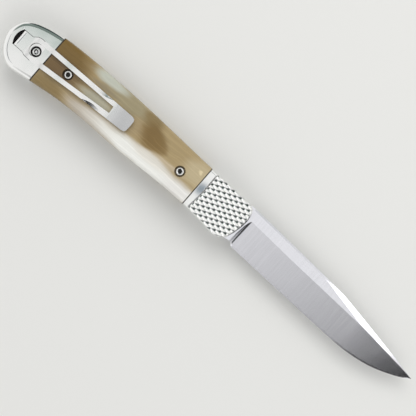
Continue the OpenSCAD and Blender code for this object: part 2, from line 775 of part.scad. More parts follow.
// The lock bar is sprung out of the clip side's liner
root_gap = 0.05;
lock_tip_x = lock_face_x - lock_gap;
lock_root_x = lock_tip_x - lock_length;
lock_angle = asin(lock_travel / lock_length);
flexure_start_share = 0.3;

module lock_region(from, to, lift) {
    linear_extrude(liner_thickness + 2 * overrun)
        polygon([
            [from, lift - lock_root_drop], [to, lift - lock_tip_drop],
            [to, -butt_drop - overrun], [from, -butt_drop - overrun]]);
}

module lock_relief() {
    translate([lock_root_x, lock_slot / 2 - lock_root_drop, -overrun])
        cylinder(h = liner_thickness + 2 * overrun, r = lock_relief_radius);
}

module liner_right() {
    color(liner_colour)
        place()
            on_side(clip_side, channel_half)
                difference() {
                    liner_plate();
                    translate([0, 0, -overrun])
                        lock_region(lock_root_x, lock_tip_x + lock_slot, lock_slot);
                    lock_relief();
                }
}

module lock_bar() {
    color(liner_colour)
        place()
            on_side(clip_side, channel_half + liner_thickness / 2)
                translate([lock_root_x, 0, 0])
                    rotate([0, lock_angle, 0])
                        translate([-lock_root_x, 0, -liner_thickness / 2])
                            difference() {
                                intersection() {
                                    liner_blank();
                                    translate([0, 0, -overrun])
                                        lock_region(lock_root_x + root_gap, lock_tip_x, 0);
                                }
                                lock_relief();
                                translate([
                                    lock_root_x + lock_flexure_length * flexure_start_share,
                                    -butt_drop - overrun,
                                    liner_thickness - lock_flexure_depth])
                                    cube([
                                        lock_flexure_length,
                                        butt_drop + overrun,
                                        lock_flexure_depth + overrun]);
                                translate([detent_place.x, detent_place.y, -overrun])
                                    cylinder(h = liner_thickness + 2 * overrun, r = detent_radius);
                            }
}

module detent_ball() {
    color(screw_colour)
        place()
            on_side(clip_side, channel_half + liner_thickness / 2)
                translate([lock_root_x, 0, 0])
                    rotate([0, lock_angle, 0])
                        translate([
                            detent_place.x - lock_root_x,
                            detent_place.y,
                            detent_radius - detent_proud - liner_thickness / 2])
                            sphere(r = detent_radius - ball_clearance);
}

// Rear bolster, with z = 0 on its inner face
module rear_bolster_body() {
    difference() {
        slab_part(-overrun, rear_bolster_length);
        screw_hole(rear_screw_place, screw_clearance);
        translate([0, 0, -liner_thickness])
            hidden_holes([scaled(butt_screw_share)], liner_thickness + hidden_screw_reach);
    }
}

module bolster_rear_left() {
    color(polished_colour)
        place()
            on_side(show_side, slab_base)
                rear_bolster_body();
}

module handle_scale(side) {
    color(horn_colour)
        place()
            on_side(side, slab_base)
                difference() {
                    slab_part(scale_start, scale_end);
                    for (place = scale_screw_places)
                        screw_hole(place, screw_clearance);
                }
}

// Front bolster: a plain band, and a knurled part in front of its curved edge
band_edge_x = front_bolster_start + band_width;
band_edge_centre = [band_edge_x - band_edge_radius, band_edge_rise];
knurl_middle = [(band_edge_x + handle_length) / 2, (back_rise - butt_drop) / 2];
knurl_reach = norm([handle_length - band_edge_x, back_rise + butt_drop]) / 2;
knurl_count = ceil(knurl_reach / knurl_pitch);
band_edge_facets = 256;

module behind_band_edge() {
    translate([band_edge_centre.x, band_edge_centre.y, -overrun])
        cylinder(h = slab_thickness + 2 * overrun, r = band_edge_radius, $fn = band_edge_facets);
}

// Groove of V section along the band's edge
module band_groove() {
    translate([band_edge_centre.x, band_edge_centre.y, 0])
        rotate_extrude($fn = band_edge_facets)
            polygon([
                [band_edge_radius, slab_thickness - band_groove_depth],
                [band_edge_radius, slab_thickness + overrun],
                [band_edge_radius - band_groove_width / 2, slab_thickness + overrun],
                [band_edge_radius - band_groove_width / 2, slab_thickness]]);
}

module front_blank() {
    difference() {
        slab_part(front_bolster_start, handle_length + overrun);
        translate([pivot_x, 0, -overrun])
            cylinder(
                h = overrun + pivot_head_height + head_pocket_gap,
                r = pivot_head_radius + head_pocket_gap);
        translate([0, 0, -liner_thickness])
            hidden_holes(
                [for (share = bolster_screw_shares) from_pivot(share, tang_radius)],
                liner_thickness + hidden_screw_reach);
    }
}

// One groove of the knurling, straight across the bolster
module knurl_groove() {
    half_width = (knurl_pitch - knurl_land) / 2;
    widening = half_width / knurl_depth;
    rotate([90, 0, 90])
        translate([0, 0, -knurl_reach - overrun])
            linear_extrude(2 * (knurl_reach + overrun))
                polygon([
                    [0, slab_thickness - knurl_depth],
                    [half_width + overrun * widening, slab_thickness + overrun],
                    [-half_width - overrun * widening, slab_thickness + overrun]]);
}

module knurl_grooves() {
    for (turn = [-knurl_half_angle, knurl_half_angle], i = [-knurl_count:knurl_count])
        translate([knurl_middle.x, knurl_middle.y, 0])
            rotate([0, 0, knurl_tilt + turn])
                translate([0, i * knurl_pitch, 0])
                    knurl_groove();
}

module bolster_front(side) {
    color(polished_colour)
        place()
            on_side(side, slab_base)
                union() {
                    difference() {
                        intersection() {
                            front_blank();
                            behind_band_edge();
                        }
                        band_groove();
                    }
                    difference() {
                        front_blank();
                        behind_band_edge();
                        knurl_grooves();
                    }
                }
}

module scale_screws(side) {
    color(screw_colour)
        place()
            on_side(side, slab_base)
                for (place = scale_screw_places)
                    cap_screw(place, scale_head_radius);
}

module rear_screw(side) {
    color(screw_colour)
        place()
            on_side(side, slab_base)
                cap_screw(rear_screw_place, rear_head_radius);
}

// Pocket clip, with z = 0 on the outer face of the liner under it
face = slab_thickness;
clip_end = clip_start + clip_length;
clip_underside = face + clip_proud_height - clip_thickness;
bend_x = clip_start + clip_thickness + clip_bend_radius;
bend_level = clip_underside - clip_bend_radius;
foot_play = 0.2;

function on_clip(share) = [clip_start + share.x * clip_length, share.y * clip_width];
clip_ring = [for (share = clip_shares) on_clip(share)];
leg_low = clip_ring[0].y;
leg_high = clip_ring[3].y;

clip_side_line = concat(
    [[bend_x, clip_underside], [clip_start + clip_flat_share * clip_length, clip_underside],
        [clip_start + clip_ramp_share * clip_length, clip_underside]],
    [for (share = clip_side_shares)
        [clip_start + share.x * clip_length, face + share.y * clip_rise_height]],
    [[clip_start + clip_contact_share * clip_length, face + clip_seat_gap],
        [clip_end, face + clip_flare_height]]);
clip_side_places = [for (i = [0:clip_side_steps]) bend_x + (clip_end - bend_x) * i / clip_side_steps];

// What lies between two heights above the clip's underside, drawn along y between two levels
module clip_layer(low, high, from_x, from_y, to_y) {
    places = concat(from_x < bend_x ? [from_x] : [], clip_side_places);
    translate([0, to_y, 0])
        rotate([90, 0, 0])
            linear_extrude(to_y - from_y)
                polygon(concat(
                    [for (x = places) [x, low + height_at(clip_side_line, max(x, bend_x))]],
                    [for (i = [len(places) - 1:-1:0])
                        [places[i], high + height_at(clip_side_line, max(places[i], bend_x))]]));
}

module clip_plan(ring, height) {
    translate([0, 0, -overrun])
        linear_extrude(height + 2 * overrun)
            polygon(ring);
}

module leg_block(from, to, low, high, play) {
    translate([from, leg_low - play, low])
        cube([to - from, leg_high - leg_low + 2 * play, high - low]);
}

module clip_bend() {
    intersection() {
        translate([bend_x, leg_low, bend_level])
            rotate([-90, 0, 0])
                difference() {
                    cylinder(h = leg_high - leg_low, r = clip_bend_radius + clip_thickness);
                    translate([0, 0, -overrun])
                        cylinder(h = leg_high - leg_low + 2 * overrun, r = clip_bend_radius);
                }
        leg_block(clip_start, bend_x, bend_level, face + overrun, 0);
    }
}

module clip_window() {
    centre = on_clip(clip_window_centre_share);
    translate([0, 0, -overrun])
        linear_extrude(face + clip_rise_height + clip_flare_height + 2 * overrun)
            polygon([for (share = clip_window_shares) on_clip(share)]);
    translate([centre.x, centre.y, -overrun])
        cylinder(h = face + clip_rise_height + 2 * overrun, r = clip_window_radius_share * clip_width);
}

// Relief that a wheel leaves on the outer edge of each arm
module clip_reliefs() {
    tilt = atan(clip_relief_depth / clip_relief_width);
    radius = (clip_relief_length ^ 2 / 4 + clip_relief_depth ^ 2) / (2 * clip_relief_depth);
    for (relief = clip_relief_shares) {
        middle = on_clip(relief);
        half = clip_relief_length / 2;
        top = height_at(clip_side_line, middle.x) + clip_thickness;
        drop = height_at(clip_side_line, middle.x - half) - height_at(clip_side_line, middle.x + half);
        translate([middle.x, middle.y, top])
            rotate([-sign(relief.y) * tilt, atan(drop / clip_relief_length), relief.z])
                translate([0, 0, radius - clip_relief_depth])
                    rotate([90, 0, 0])
                        cylinder(h = 4 * clip_relief_width, r = radius, center = true);
    }
}

module pocket_clip() {
    color(polished_colour)
        place()
            on_side(clip_side, slab_base)
                union() {
                    leg_block(clip_start, clip_start + clip_thickness, clip_seat_gap, bend_level, 0);
                    leg_block(
                        clip_start,
                        clip_start + clip_foot_length,
                        clip_seat_gap,
                        clip_seat_gap + clip_thickness,
                        0);
                    clip_bend();
                    difference() {
                        intersection() {
                            clip_layer(0, clip_thickness, bend_x, -butt_drop, back_rise);
                            clip_plan(clip_ring, face + clip_rise_height + clip_flare_height);
                        }
                        clip_window();
                        clip_reliefs();
                    }
                }
}

// Seat of the clip in the rear bolster, the slot for its leg and the pocket for its foot
module clip_seat() {
    intersection() {
        clip_layer(-clip_seat_gap, slab_thickness + overrun, 0, -butt_drop, back_rise);
        clip_plan(inset_ring(clip_ring, -clip_gap, -clip_gap), slab_thickness);
    }
    intersection() {
        translate([
            clip_start - clip_slot_room + clip_slot_radius,
            (leg_low + leg_high) / 2,
            -overrun])
            cylinder(h = slab_thickness + 2 * overrun, r = clip_slot_radius);
        leg_block(
            -overrun,
            clip_start + clip_thickness + clip_gap,
            -overrun,
            slab_thickness + overrun,
            clip_gap);
    }
    leg_block(
        clip_start - clip_gap,
        clip_start + clip_thickness + clip_gap,
        -overrun,
        slab_thickness + overrun,
        clip_gap);
    leg_block(
        clip_start - clip_gap,
        clip_start + clip_foot_length + foot_play,
        -overrun,
        clip_seat_gap + clip_thickness + foot_play,
        clip_gap);
}

module bolster_rear_right() {
    color(polished_colour)
        place()
            on_side(clip_side, slab_base)
                difference() {
                    rear_bolster_body();
                    clip_seat();
                }
}

module bearing_cage_left() bearing_cage(show_side);
module bearing_cage_right() bearing_cage(clip_side);
module bearing_balls_left() bearing_balls(show_side);
module bearing_balls_right() bearing_balls(clip_side);
module backspacer_screws_left() backspacer_screws(show_side);
module backspacer_screws_right() backspacer_screws(clip_side);
module bolster_front_left() bolster_front(show_side);
module bolster_front_right() bolster_front(clip_side);
module bolster_screws_left() bolster_screws(show_side);
module bolster_screws_right() bolster_screws(clip_side);
module scale_left() handle_scale(show_side);
module scale_right() handle_scale(clip_side);
module scale_screws_left() scale_screws(show_side);
module scale_screws_right() scale_screws(clip_side);
module rear_screw_left() rear_screw(show_side);
module rear_screw_right() rear_screw(clip_side);

blade();
stop_pin();
pivot_barrel();
pivot_screw();
bearing_cage_left();
bearing_cage_right();
bearing_balls_left();
bearing_balls_right();
liner_left();
liner_right();
lock_bar();
detent_ball();
backspacer();
backspacer_screws_left();
backspacer_screws_right();
bolster_front_left();
bolster_front_right();
bolster_screws_left();
bolster_screws_right();
scale_left();
scale_right();
scale_screws_left();
scale_screws_right();
bolster_rear_left();
bolster_rear_right();
rear_screw_left();
rear_screw_right();
pocket_clip();
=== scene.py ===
"""Looks of an open folding trapper knife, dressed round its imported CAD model.

The knife lies on its show side with the clip side up. +X runs from the butt to the tip of the
blade and +Y from the edge to the back. Unless a comment says otherwise, sizes are millimetres in
the knife's own measure: x from the butt, y from the level of the pivot, which is the tip's too,
and z up from what the knife lies on.
"""

import json
import logging
import math
from dataclasses import dataclass
from enum import Enum

import bmesh
import bpy
from mathutils import Matrix, Vector


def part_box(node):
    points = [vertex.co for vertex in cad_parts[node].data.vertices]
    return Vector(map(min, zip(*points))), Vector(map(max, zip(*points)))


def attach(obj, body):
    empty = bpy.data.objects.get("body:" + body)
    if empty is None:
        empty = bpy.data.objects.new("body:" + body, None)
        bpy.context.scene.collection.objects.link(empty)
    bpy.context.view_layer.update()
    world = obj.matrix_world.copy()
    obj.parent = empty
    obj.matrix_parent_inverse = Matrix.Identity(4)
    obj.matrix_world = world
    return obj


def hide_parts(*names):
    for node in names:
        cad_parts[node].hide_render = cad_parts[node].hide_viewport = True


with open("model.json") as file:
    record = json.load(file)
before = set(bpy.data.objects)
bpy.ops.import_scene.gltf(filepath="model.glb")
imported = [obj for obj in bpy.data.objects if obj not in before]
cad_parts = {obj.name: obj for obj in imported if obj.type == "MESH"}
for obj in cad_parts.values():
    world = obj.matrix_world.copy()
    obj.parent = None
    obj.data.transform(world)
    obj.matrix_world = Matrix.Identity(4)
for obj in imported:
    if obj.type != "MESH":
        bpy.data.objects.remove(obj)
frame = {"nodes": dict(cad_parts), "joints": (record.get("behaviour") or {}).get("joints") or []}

log = logging.getLogger("trapper_knife")

MM = 0.001

Material = bpy.types.Material
Tree = bpy.types.NodeTree
Socket = bpy.types.NodeSocket
# Linear colour of a surface, or the socket that works it out
Colour = Socket | tuple[float, float, float, float]


def joint_place(name: str) -> tuple[float, float, float]:
    """Place of a joint, as the record gives it.

    Args:
        name: The joint's name.

    Returns:
        Millimetres in the row frame, to the micrometre.
    """
    metres = next(joint["pos_m"] for joint in frame["joints"] if joint["name"] == name)
    x, y, z = (round(part / MM, 3) for part in metres)
    return x, y, z


# Where the knife's own measure starts in the row frame: at the butt, and at the pivot's level
OFFSET_X = round(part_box("bolster_rear_right")[0].x / MM, 3)
OFFSET_Y = joint_place("blade_pivot")[1]
# Level of the plane between the knife's two sides
MID_PLANE = joint_place("blade_pivot")[2]

# Painted shade: dark steel colour painted where shade falls in recesses, slots and gaps
PAINTED_SHADE_COLOUR = "2e2e2d"
# Glue and dirt in the joint between horn and steel
JOINT_COLOUR = "3d3428"

# Sockets of a Mix node, which it tells apart by number alone, for numbers and for colours
NUMBER_A = 2
NUMBER_B = 3
COLOUR_A = 6
COLOUR_B = 7
COLOUR_MIXED = 2

# Corners of the CAD's loose triangles that are closer than this are one corner
WELD_DISTANCE = 0.001
# Faces that meet at less than this, in degrees, are one flat face
FLAT_ANGLE = 0.3
# Edges of new pieces that are sharper than this, in degrees, show as edges
SHARP_ANGLE = 30.0
# Weight at which flat faces stay flat right up to their broken edges
FLAT_WEIGHT = 100


def row(x: float, y: float, z: float) -> Vector:
    """Place in the row frame, in metres, of a point in the knife's own measure.

    Args:
        x: Millimetres from the butt.
        y: Millimetres above the level of the pivot.
        z: Millimetres above what the knife lies on.

    Returns:
        The same point in the row frame, in metres.
    """
    return Vector(((x + OFFSET_X) * MM, (y + OFFSET_Y) * MM, z * MM))


def linear(colour: str) -> tuple[float, float, float, float]:
    """Linear colour of an sRGB hex value.

    Args:
        colour: Six hex digits, such as "c8b89a".

    Returns:
        Red, green, blue and alpha, linear.
    """
    channels = [int(colour[i:i + 2], 16) / 255 for i in (0, 2, 4)]
    # The curve of the sRGB standard, which is straight near black
    made = [c / 12.92 if c <= 0.04045 else ((c + 0.055) / 1.055) ** 2.4 for c in channels]
    return made[0], made[1], made[2], 1.0


def add(
    tree: Tree, kind: str, inputs: dict[str | int, object] | None = None, **settings: object
) -> bpy.types.Node:
    """Adds a node with its settings, and sets or links its inputs.

    Args:
        tree: Node tree to add it to.
        kind: Type of shader node, such as "Math".
        inputs: Values or output sockets, by the input's name or number.
        **settings: Attributes of the node.

    Returns:
        The new node.
    """
    node = tree.nodes.new(f"ShaderNode{kind}")
    for name, value in settings.items():
        setattr(node, name, value)
    for name, value in (inputs or {}).items():
        if isinstance(value, Socket):
            tree.links.new(value, node.inputs[name])
        else:
            node.inputs[name].default_value = value
    return node


def ends(word: str, values: tuple[float, float]) -> dict[str, float]:
    """The two inputs of a Map Range node that start with a word, "From" or "To"."""
    return {f"{word} Min": values[0], f"{word} Max": values[1]}


# Range that nearly all of a noise lies in
NOISE_RANGE = ends("From", (0.3, 0.7))


class Axis(Enum):
    """Direction that a grain or a grinding line runs in."""

    ALONG = "along the knife"
    ACROSS = "from the edge to the back"
    NONE = "no direction"


class Side(Enum):
    """The knife's sides, by their direction from the mid plane."""

    SHOW = -1
    CLIP = 1

    @property
    def word(self) -> str:
        """The word that ends the names of this side's nodes."""
        return "left" if self is Side.SHOW else "right"


def new_material(name: str) -> tuple[Material, Tree, bpy.types.Node]:
    """Makes a material with one Principled shader.

    Args:
        name: The material's name.

    Returns:
        The material, its node tree and the shader.
    """
    material = bpy.data.materials.new(name)
    material.use_nodes = True
    tree = material.node_tree
    tree.nodes.clear()
    shader = add(tree, "BsdfPrincipled")
    add(tree, "OutputMaterial", {"Surface": shader.outputs[0]})
    return material, tree, shader


def millimetres(tree: Tree) -> Socket:
    """Object coordinates in the knife's own measure, in millimetres.

    Args:
        tree: Node tree of the material.

    Returns:
        The vector output.
    """
    place = add(tree, "TexCoord")
    return add(
        tree,
        "Mapping",
        {
            "Vector": place.outputs["Object"],
            "Location": (-OFFSET_X, -OFFSET_Y, 0.0),
            "Scale": (1 / MM, 1 / MM, 1 / MM),
        },
        vector_type="POINT",
    ).outputs[0]


def past(tree: Tree, place: Socket, stretch: tuple[float, float]) -> Socket:
    """How far past a stretch of the knife's length a point is.

    Args:
        tree: Node tree of the material.
        place: Place in millimetres.
        stretch: Where the stretch starts and ends, in millimetres from the butt.

    Returns:
        Factor from 0 before the stretch to 1 beyond it.
    """
    along = add(tree, "SeparateXYZ", {0: place}).outputs["X"]
    return add(tree, "MapRange", {"Value": along, **ends("From", stretch)}).outputs[0]


@dataclass(frozen=True)
class Recess:
    """Box in which the steel is painted another colour: by default dark, as painted shade below the
    outer faces.

    Its middle and half sizes seen from above, and how far it reaches from the knife's mid plane.
    """

    x: float
    y: float
    half_length: float
    half_height: float
    reach: float
    colour: str = PAINTED_SHADE_COLOUR


@dataclass(frozen=True)
class GroundSteel:
    """Stainless steel that a belt or wheel has ground or polished.

    A metal: what shows is the room, broken by the fine lines of the abrasive and by the clouds of
    the buff, seven in 50 mm. Past one stretch of the knife's length it may be painted greyer as
    painted shade, before another it may be polished brighter, and its recesses may be painted
    dark as painted shade. Rounding is the radius that the buff gives to edges that the mesh has
    sharp.
    """

    name: str
    colour: str
    roughness: float
    lines: Axis = Axis.NONE
    line_spacing: float = 0.25
    line_length: float = 9.0
    line_depth: float = 0.0
    line_tone: float = 0.0
    cloud_size: float = 50 / 7
    roughness_spread: float = 0.04
    least_roughness: float = 0.02
    recesses: tuple[Recess, ...] = ()
    rounding: float = 0.0
    rounding_samples: int = 6
    # Stretch past which the steel is painted greyer as painted shade, and that grey
    satin_past: tuple[float, float] | None = None
    satin_colour: str = "cfcfd0"
    bright_before: tuple[float, float] | None = None
    bright_roughness: float = 0.03

    def build(self) -> Material:
        """Makes the material.

        Returns:
            The finished material.
        """
        material, tree, shader = new_material(self.name)
        place = millimetres(tree)
        lines = self.draw_lines(tree, place)
        tree.links.new(self.tint(tree, place, lines), shader.inputs["Base Color"])
        tree.links.new(self.polish(tree, place), shader.inputs["Roughness"])
        shader.inputs["Metallic"].default_value = 1.0
        if self.line_depth > 0:
            bump = add(
                tree, "Bump", {"Height": lines, "Strength": 1.0, "Distance": self.line_depth * MM}
            )
            tree.links.new(bump.outputs[0], shader.inputs["Normal"])
        if self.rounding > 0:
            rounded = add(tree, "Bevel", {"Radius": self.rounding * MM}, samples=self.rounding_samples)
            tree.links.new(rounded.outputs[0], shader.inputs["Normal"])
        return material

    def draw_lines(self, tree: Tree, place: Socket) -> Socket:
        """Draws the abrasive's lines, as a noise that is stretched along them.

        Args:
            tree: Node tree of the material.
            place: Place in millimetres.

        Returns:
            The noise.
        """
        fine = 1 / self.line_spacing
        slow = 1 / self.line_length
        stretch = {
            Axis.ALONG: (slow, fine, fine),
            Axis.ACROSS: (fine, slow, slow),
            Axis.NONE: (slow, slow, slow),
        }[self.lines]
        drawn = add(tree, "Mapping", {"Vector": place, "Scale": stretch})
        return add(
            tree,
            "TexNoise",
            {"Vector": drawn.outputs[0], "Scale": 1.0, "Detail": 4.0, "Roughness": 0.6},
        ).outputs[0]

    def tint(self, tree: Tree, place: Socket, lines: Socket) -> Socket:
        """Colours the steel, toned down in the lines, with painted shade in the recesses and past one
        stretch.

        Args:
            tree: Node tree of the material.
            place: Place in millimetres.
            lines: Noise of the abrasive's lines.

        Returns:
            The colour.
        """
        tone = add(
            tree,
            "MapRange",
            {"Value": lines, **NOISE_RANGE, **ends("To", (1.0 - self.line_tone, 1.0))},
        ).outputs[0]
        colour = add(
            tree,
            "Mix",
            {"Factor": 1.0, COLOUR_A: linear(self.colour), COLOUR_B: tone},
            data_type="RGBA",
            blend_type="MULTIPLY",
        ).outputs[COLOUR_MIXED]
        for recess in self.recesses:
            colour = self.darken(tree, place, recess, colour)
        # Painted shade: past the stretch the steel is painted greyer
        if self.satin_past:
            shaded_stretch = past(tree, place, self.satin_past)
            colour = add(
                tree,
                "Mix",
                {"Factor": shaded_stretch, COLOUR_A: colour, COLOUR_B: linear(self.satin_colour)},
                data_type="RGBA",
            ).outputs[COLOUR_MIXED]
        return colour

    def polish(self, tree: Tree, place: Socket) -> Socket:
        """Sets how clearly the steel mirrors, with the slow clouds that a buff leaves.

        Args:
            tree: Node tree of the material.
            place: Place in millimetres.

        Returns:
            The roughness.
        """
        clouds = add(
            tree, "TexNoise", {"Vector": place, "Scale": 1 / self.cloud_size, "Detail": 3.0}
        ).outputs[0]
        low = max(self.least_roughness, self.roughness - self.roughness_spread)
        high = self.roughness + self.roughness_spread
        rough = add(
            tree, "MapRange", {"Value": clouds, **NOISE_RANGE, **ends("To", (low, high))}
        ).outputs[0]
        if self.bright_before:
            rough = add(
                tree,
                "Mix",
                {
                    "Factor": past(tree, place, self.bright_before),
                    NUMBER_A: self.bright_roughness,
                    NUMBER_B: rough,
                },
                data_type="FLOAT",
            ).outputs[0]
        return rough

    def darken(self, tree: Tree, place: Socket, recess: Recess, colour: Socket) -> Socket:
        """Paints the colour of one recess box onto the steel, which in most boxes is painted shade.

        Args:
            tree: Node tree of the material.
            place: Place in millimetres.
            recess: The recess.
            colour: The steel's colour so far.

        Returns:
            The colour with that of the recess in it.
        """
        # The recess is the box that lies within 1 of its middle in every direction
        inside = add(
            tree,
            "Mapping",
            {
                "Vector": place,
                "Location": (recess.x, recess.y, MID_PLANE),
                "Scale": (recess.half_length, recess.half_height, recess.reach),
            },
            vector_type="TEXTURE",
        ).outputs[0]
        sides = add(tree, "VectorMath", {0: inside}, operation="ABSOLUTE").outputs[0]
        parts = add(tree, "SeparateXYZ", {0: sides}).outputs
        across = add(tree, "Math", {0: parts[0], 1: parts[1]}, operation="MAXIMUM")
        furthest = add(
            tree, "Math", {0: across.outputs[0], 1: parts[2]}, operation="MAXIMUM"
        ).outputs[0]
        within = add(tree, "Math", {0: furthest, 1: 1.0}, operation="LESS_THAN").outputs[0]
        # Painted shade, or the box's own colour, inside the recess box
        return add(
            tree,
            "Mix",
            {"Factor": within, COLOUR_A: colour, COLOUR_B: linear(recess.colour)},
            data_type="RGBA",
        ).outputs[COLOUR_MIXED]


@dataclass(frozen=True)
class Mark:
    """Soft patch of another colour in the horn: its middle, half sizes, colour and strength."""

    x: float
    y: float
    half_length: float
    half_height: float
    colour: str
    strength: float


@dataclass(frozen=True)
class RamHorn:
    """Ram's horn, sawn along its fibres and buffed to a gloss.

    Keratin: brown and cream clouds drawn out along the horn, with a soft depth under the polish.
    The clouds wander by the drift's reach, nine times in 100 mm along the horn and three times in
    10 mm across it. A mark goes right through the horn and is at full strength up to a share of
    its half sizes.
    """

    name: str
    base: str
    marks: tuple[Mark, ...]
    mark_full_share: float = 0.35
    mark_half_depth: float = 1000.0
    drift_length: float = 100 / 9
    drift_width: float = 10 / 3
    drift_reach: tuple[float, float, float] = (6.0, 2.4, 0.0)
    joints: tuple[float, ...] = (16.4, 81.45)
    joint_width: float = 0.34
    fibre_spacing: float = 0.55
    fibre_length: float = 26.0
    fibre_depth: float = 0.01
    fibre_relief: float = 0.5
    fibre_tone: tuple[float, float] = (0.9, 1.05)
    roughness: tuple[float, float] = (0.2, 0.3)
    ior: float = 1.54
    specular: float = 0.25
    polish: float = 0.2
    polish_roughness: float = 0.08

    def build(self) -> Material:
        """Makes the material.

        Returns:
            The finished material.
        """
        material, tree, shader = new_material(self.name)
        place = millimetres(tree)
        warped = self.warp(tree, place)
        colour: Colour = linear(self.base)
        for mark in self.marks:
            colour = self.stain(tree, warped, mark, colour)
        fibres = self.draw_fibres(tree, warped)
        tone = add(
            tree, "MapRange", {"Value": fibres, **NOISE_RANGE, **ends("To", self.fibre_tone)}
        ).outputs[0]
        toned = add(
            tree,
            "Mix",
            {"Factor": 1.0, COLOUR_A: colour, COLOUR_B: tone},
            data_type="RGBA",
            blend_type="MULTIPLY",
        ).outputs[COLOUR_MIXED]
        jointed = self.draw_joints(tree, place, toned)
        tree.links.new(jointed, shader.inputs["Base Color"])
        rough = add(
            tree, "MapRange", {"Value": fibres, **NOISE_RANGE, **ends("To", self.roughness)}
        ).outputs[0]
        tree.links.new(rough, shader.inputs["Roughness"])
        bump = add(
            tree,
            "Bump",
            {"Height": fibres, "Strength": self.fibre_relief, "Distance": self.fibre_depth * MM},
        )
        tree.links.new(bump.outputs[0], shader.inputs["Normal"])
        shader.inputs["IOR"].default_value = self.ior
        shader.inputs["Specular IOR Level"].default_value = self.specular
        shader.inputs["Coat Weight"].default_value = self.polish
        shader.inputs["Coat Roughness"].default_value = self.polish_roughness
        return material

    def warp(self, tree: Tree, place: Socket) -> Socket:
        """Lets places in the horn wander, so that its clouds have no plain outlines.

        Args:
            tree: Node tree of the material.
            place: Place in millimetres.

        Returns:
            The place that the horn's pattern is read at.
        """
        scale = (1 / self.drift_length, 1 / self.drift_width, 1 / self.drift_width)
        slow = add(tree, "Mapping", {"Vector": place, "Scale": scale})
        drift = add(
            tree, "TexNoise", {"Vector": slow.outputs[0], "Scale": 1.0, "Detail": 3.0}
        ).outputs[1]
        centred = add(
            tree, "VectorMath", {0: drift, 1: (0.5, 0.5, 0.5)}, operation="SUBTRACT"
        ).outputs[0]
        shift = add(
            tree, "VectorMath", {0: centred, 1: self.drift_reach}, operation="MULTIPLY"
        ).outputs[0]
        return add(tree, "VectorMath", {0: place, 1: shift}, operation="ADD").outputs[0]

    def stain(self, tree: Tree, warped: Socket, mark: Mark, colour: Colour) -> Socket:
        """Blends one mark into the horn.

        Args:
            tree: Node tree of the material.
            warped: Place that the horn's pattern is read at.
            mark: The mark.
            colour: The horn's colour so far.

        Returns:
            The colour with the mark in it.
        """
        near = add(
            tree,
            "Mapping",
            {
                "Vector": warped,
                "Location": (mark.x, mark.y, 0.0),
                "Scale": (mark.half_length, mark.half_height, self.mark_half_depth),
            },
            vector_type="TEXTURE",
        ).outputs[0]
        reach = add(tree, "VectorMath", {0: near}, operation="LENGTH")
        weight = add(
            tree,
            "MapRange",
            {
                "Value": reach.outputs["Value"],
                **ends("From", (1.0, self.mark_full_share)),
                **ends("To", (0.0, mark.strength)),
            },
            interpolation_type="SMOOTHSTEP",
        ).outputs[0]
        return add(
            tree,
            "Mix",
            {"Factor": weight, COLOUR_A: colour, COLOUR_B: linear(mark.colour)},
            data_type="RGBA",
        ).outputs[COLOUR_MIXED]

    def draw_fibres(self, tree: Tree, warped: Socket) -> Socket:
        """Draws the fibres, as a noise that is stretched along the horn.

        Args:
            tree: Node tree of the material.
            warped: Place that the horn's pattern is read at.

        Returns:
            The noise.
        """
        scale = (1 / self.fibre_length, 1 / self.fibre_spacing, 1 / self.fibre_spacing)
        drawn = add(tree, "Mapping", {"Vector": warped, "Scale": scale})
        return add(
            tree,
            "TexNoise",
            {"Vector": drawn.outputs[0], "Scale": 1.0, "Detail": 5.0, "Roughness": 0.55},
        ).outputs[0]

    def draw_joints(self, tree: Tree, place: Socket, colour: Socket) -> Socket:
        """Draws the dark line where each end of the horn meets its bolster.

        Args:
            tree: Node tree of the material.
            place: Place in millimetres.
            colour: The horn's colour so far.

        Returns:
            The colour with the lines in it.
        """
        along = add(tree, "SeparateXYZ", {0: place}).outputs["X"]
        for joint in self.joints:
            in_joint = add(
                tree, "Math", {0: along, 1: joint, 2: self.joint_width / 2}, operation="COMPARE"
            ).outputs[0]
            colour = add(
                tree,
                "Mix",
                {"Factor": in_joint, COLOUR_A: colour, COLOUR_B: linear(JOINT_COLOUR)},
                data_type="RGBA",
            ).outputs[COLOUR_MIXED]
        return colour


@dataclass(frozen=True)
class MouldedNylon:
    """Nylon with glass fibre, moulded: matt and near black, as bearing cages are."""

    name: str
    colour: str = "2a2a2c"
    grain_size: float = 1 / 9
    grain_tone: tuple[float, float] = (0.85, 1.15)
    grain_depth: float = 0.02
    grain_relief: float = 0.4
    roughness: float = 0.55

    def build(self) -> Material:
        """Makes the material.

        Returns:
            The finished material.
        """
        material, tree, shader = new_material(self.name)
        grain = add(
            tree,
            "TexNoise",
            {"Vector": millimetres(tree), "Scale": 1 / self.grain_size, "Detail": 3.0},
        ).outputs[0]
        tone = add(tree, "MapRange", {"Value": grain, **ends("To", self.grain_tone)}).outputs[0]
        colour = add(
            tree,
            "Mix",
            {"Factor": 1.0, COLOUR_A: linear(self.colour), COLOUR_B: tone},
            data_type="RGBA",
            blend_type="MULTIPLY",
        ).outputs[COLOUR_MIXED]
        tree.links.new(colour, shader.inputs["Base Color"])
        bump = add(
            tree,
            "Bump",
            {"Height": grain, "Strength": self.grain_relief, "Distance": self.grain_depth * MM},
        )
        tree.links.new(bump.outputs[0], shader.inputs["Normal"])
        shader.inputs["Roughness"].default_value = self.roughness
        return material


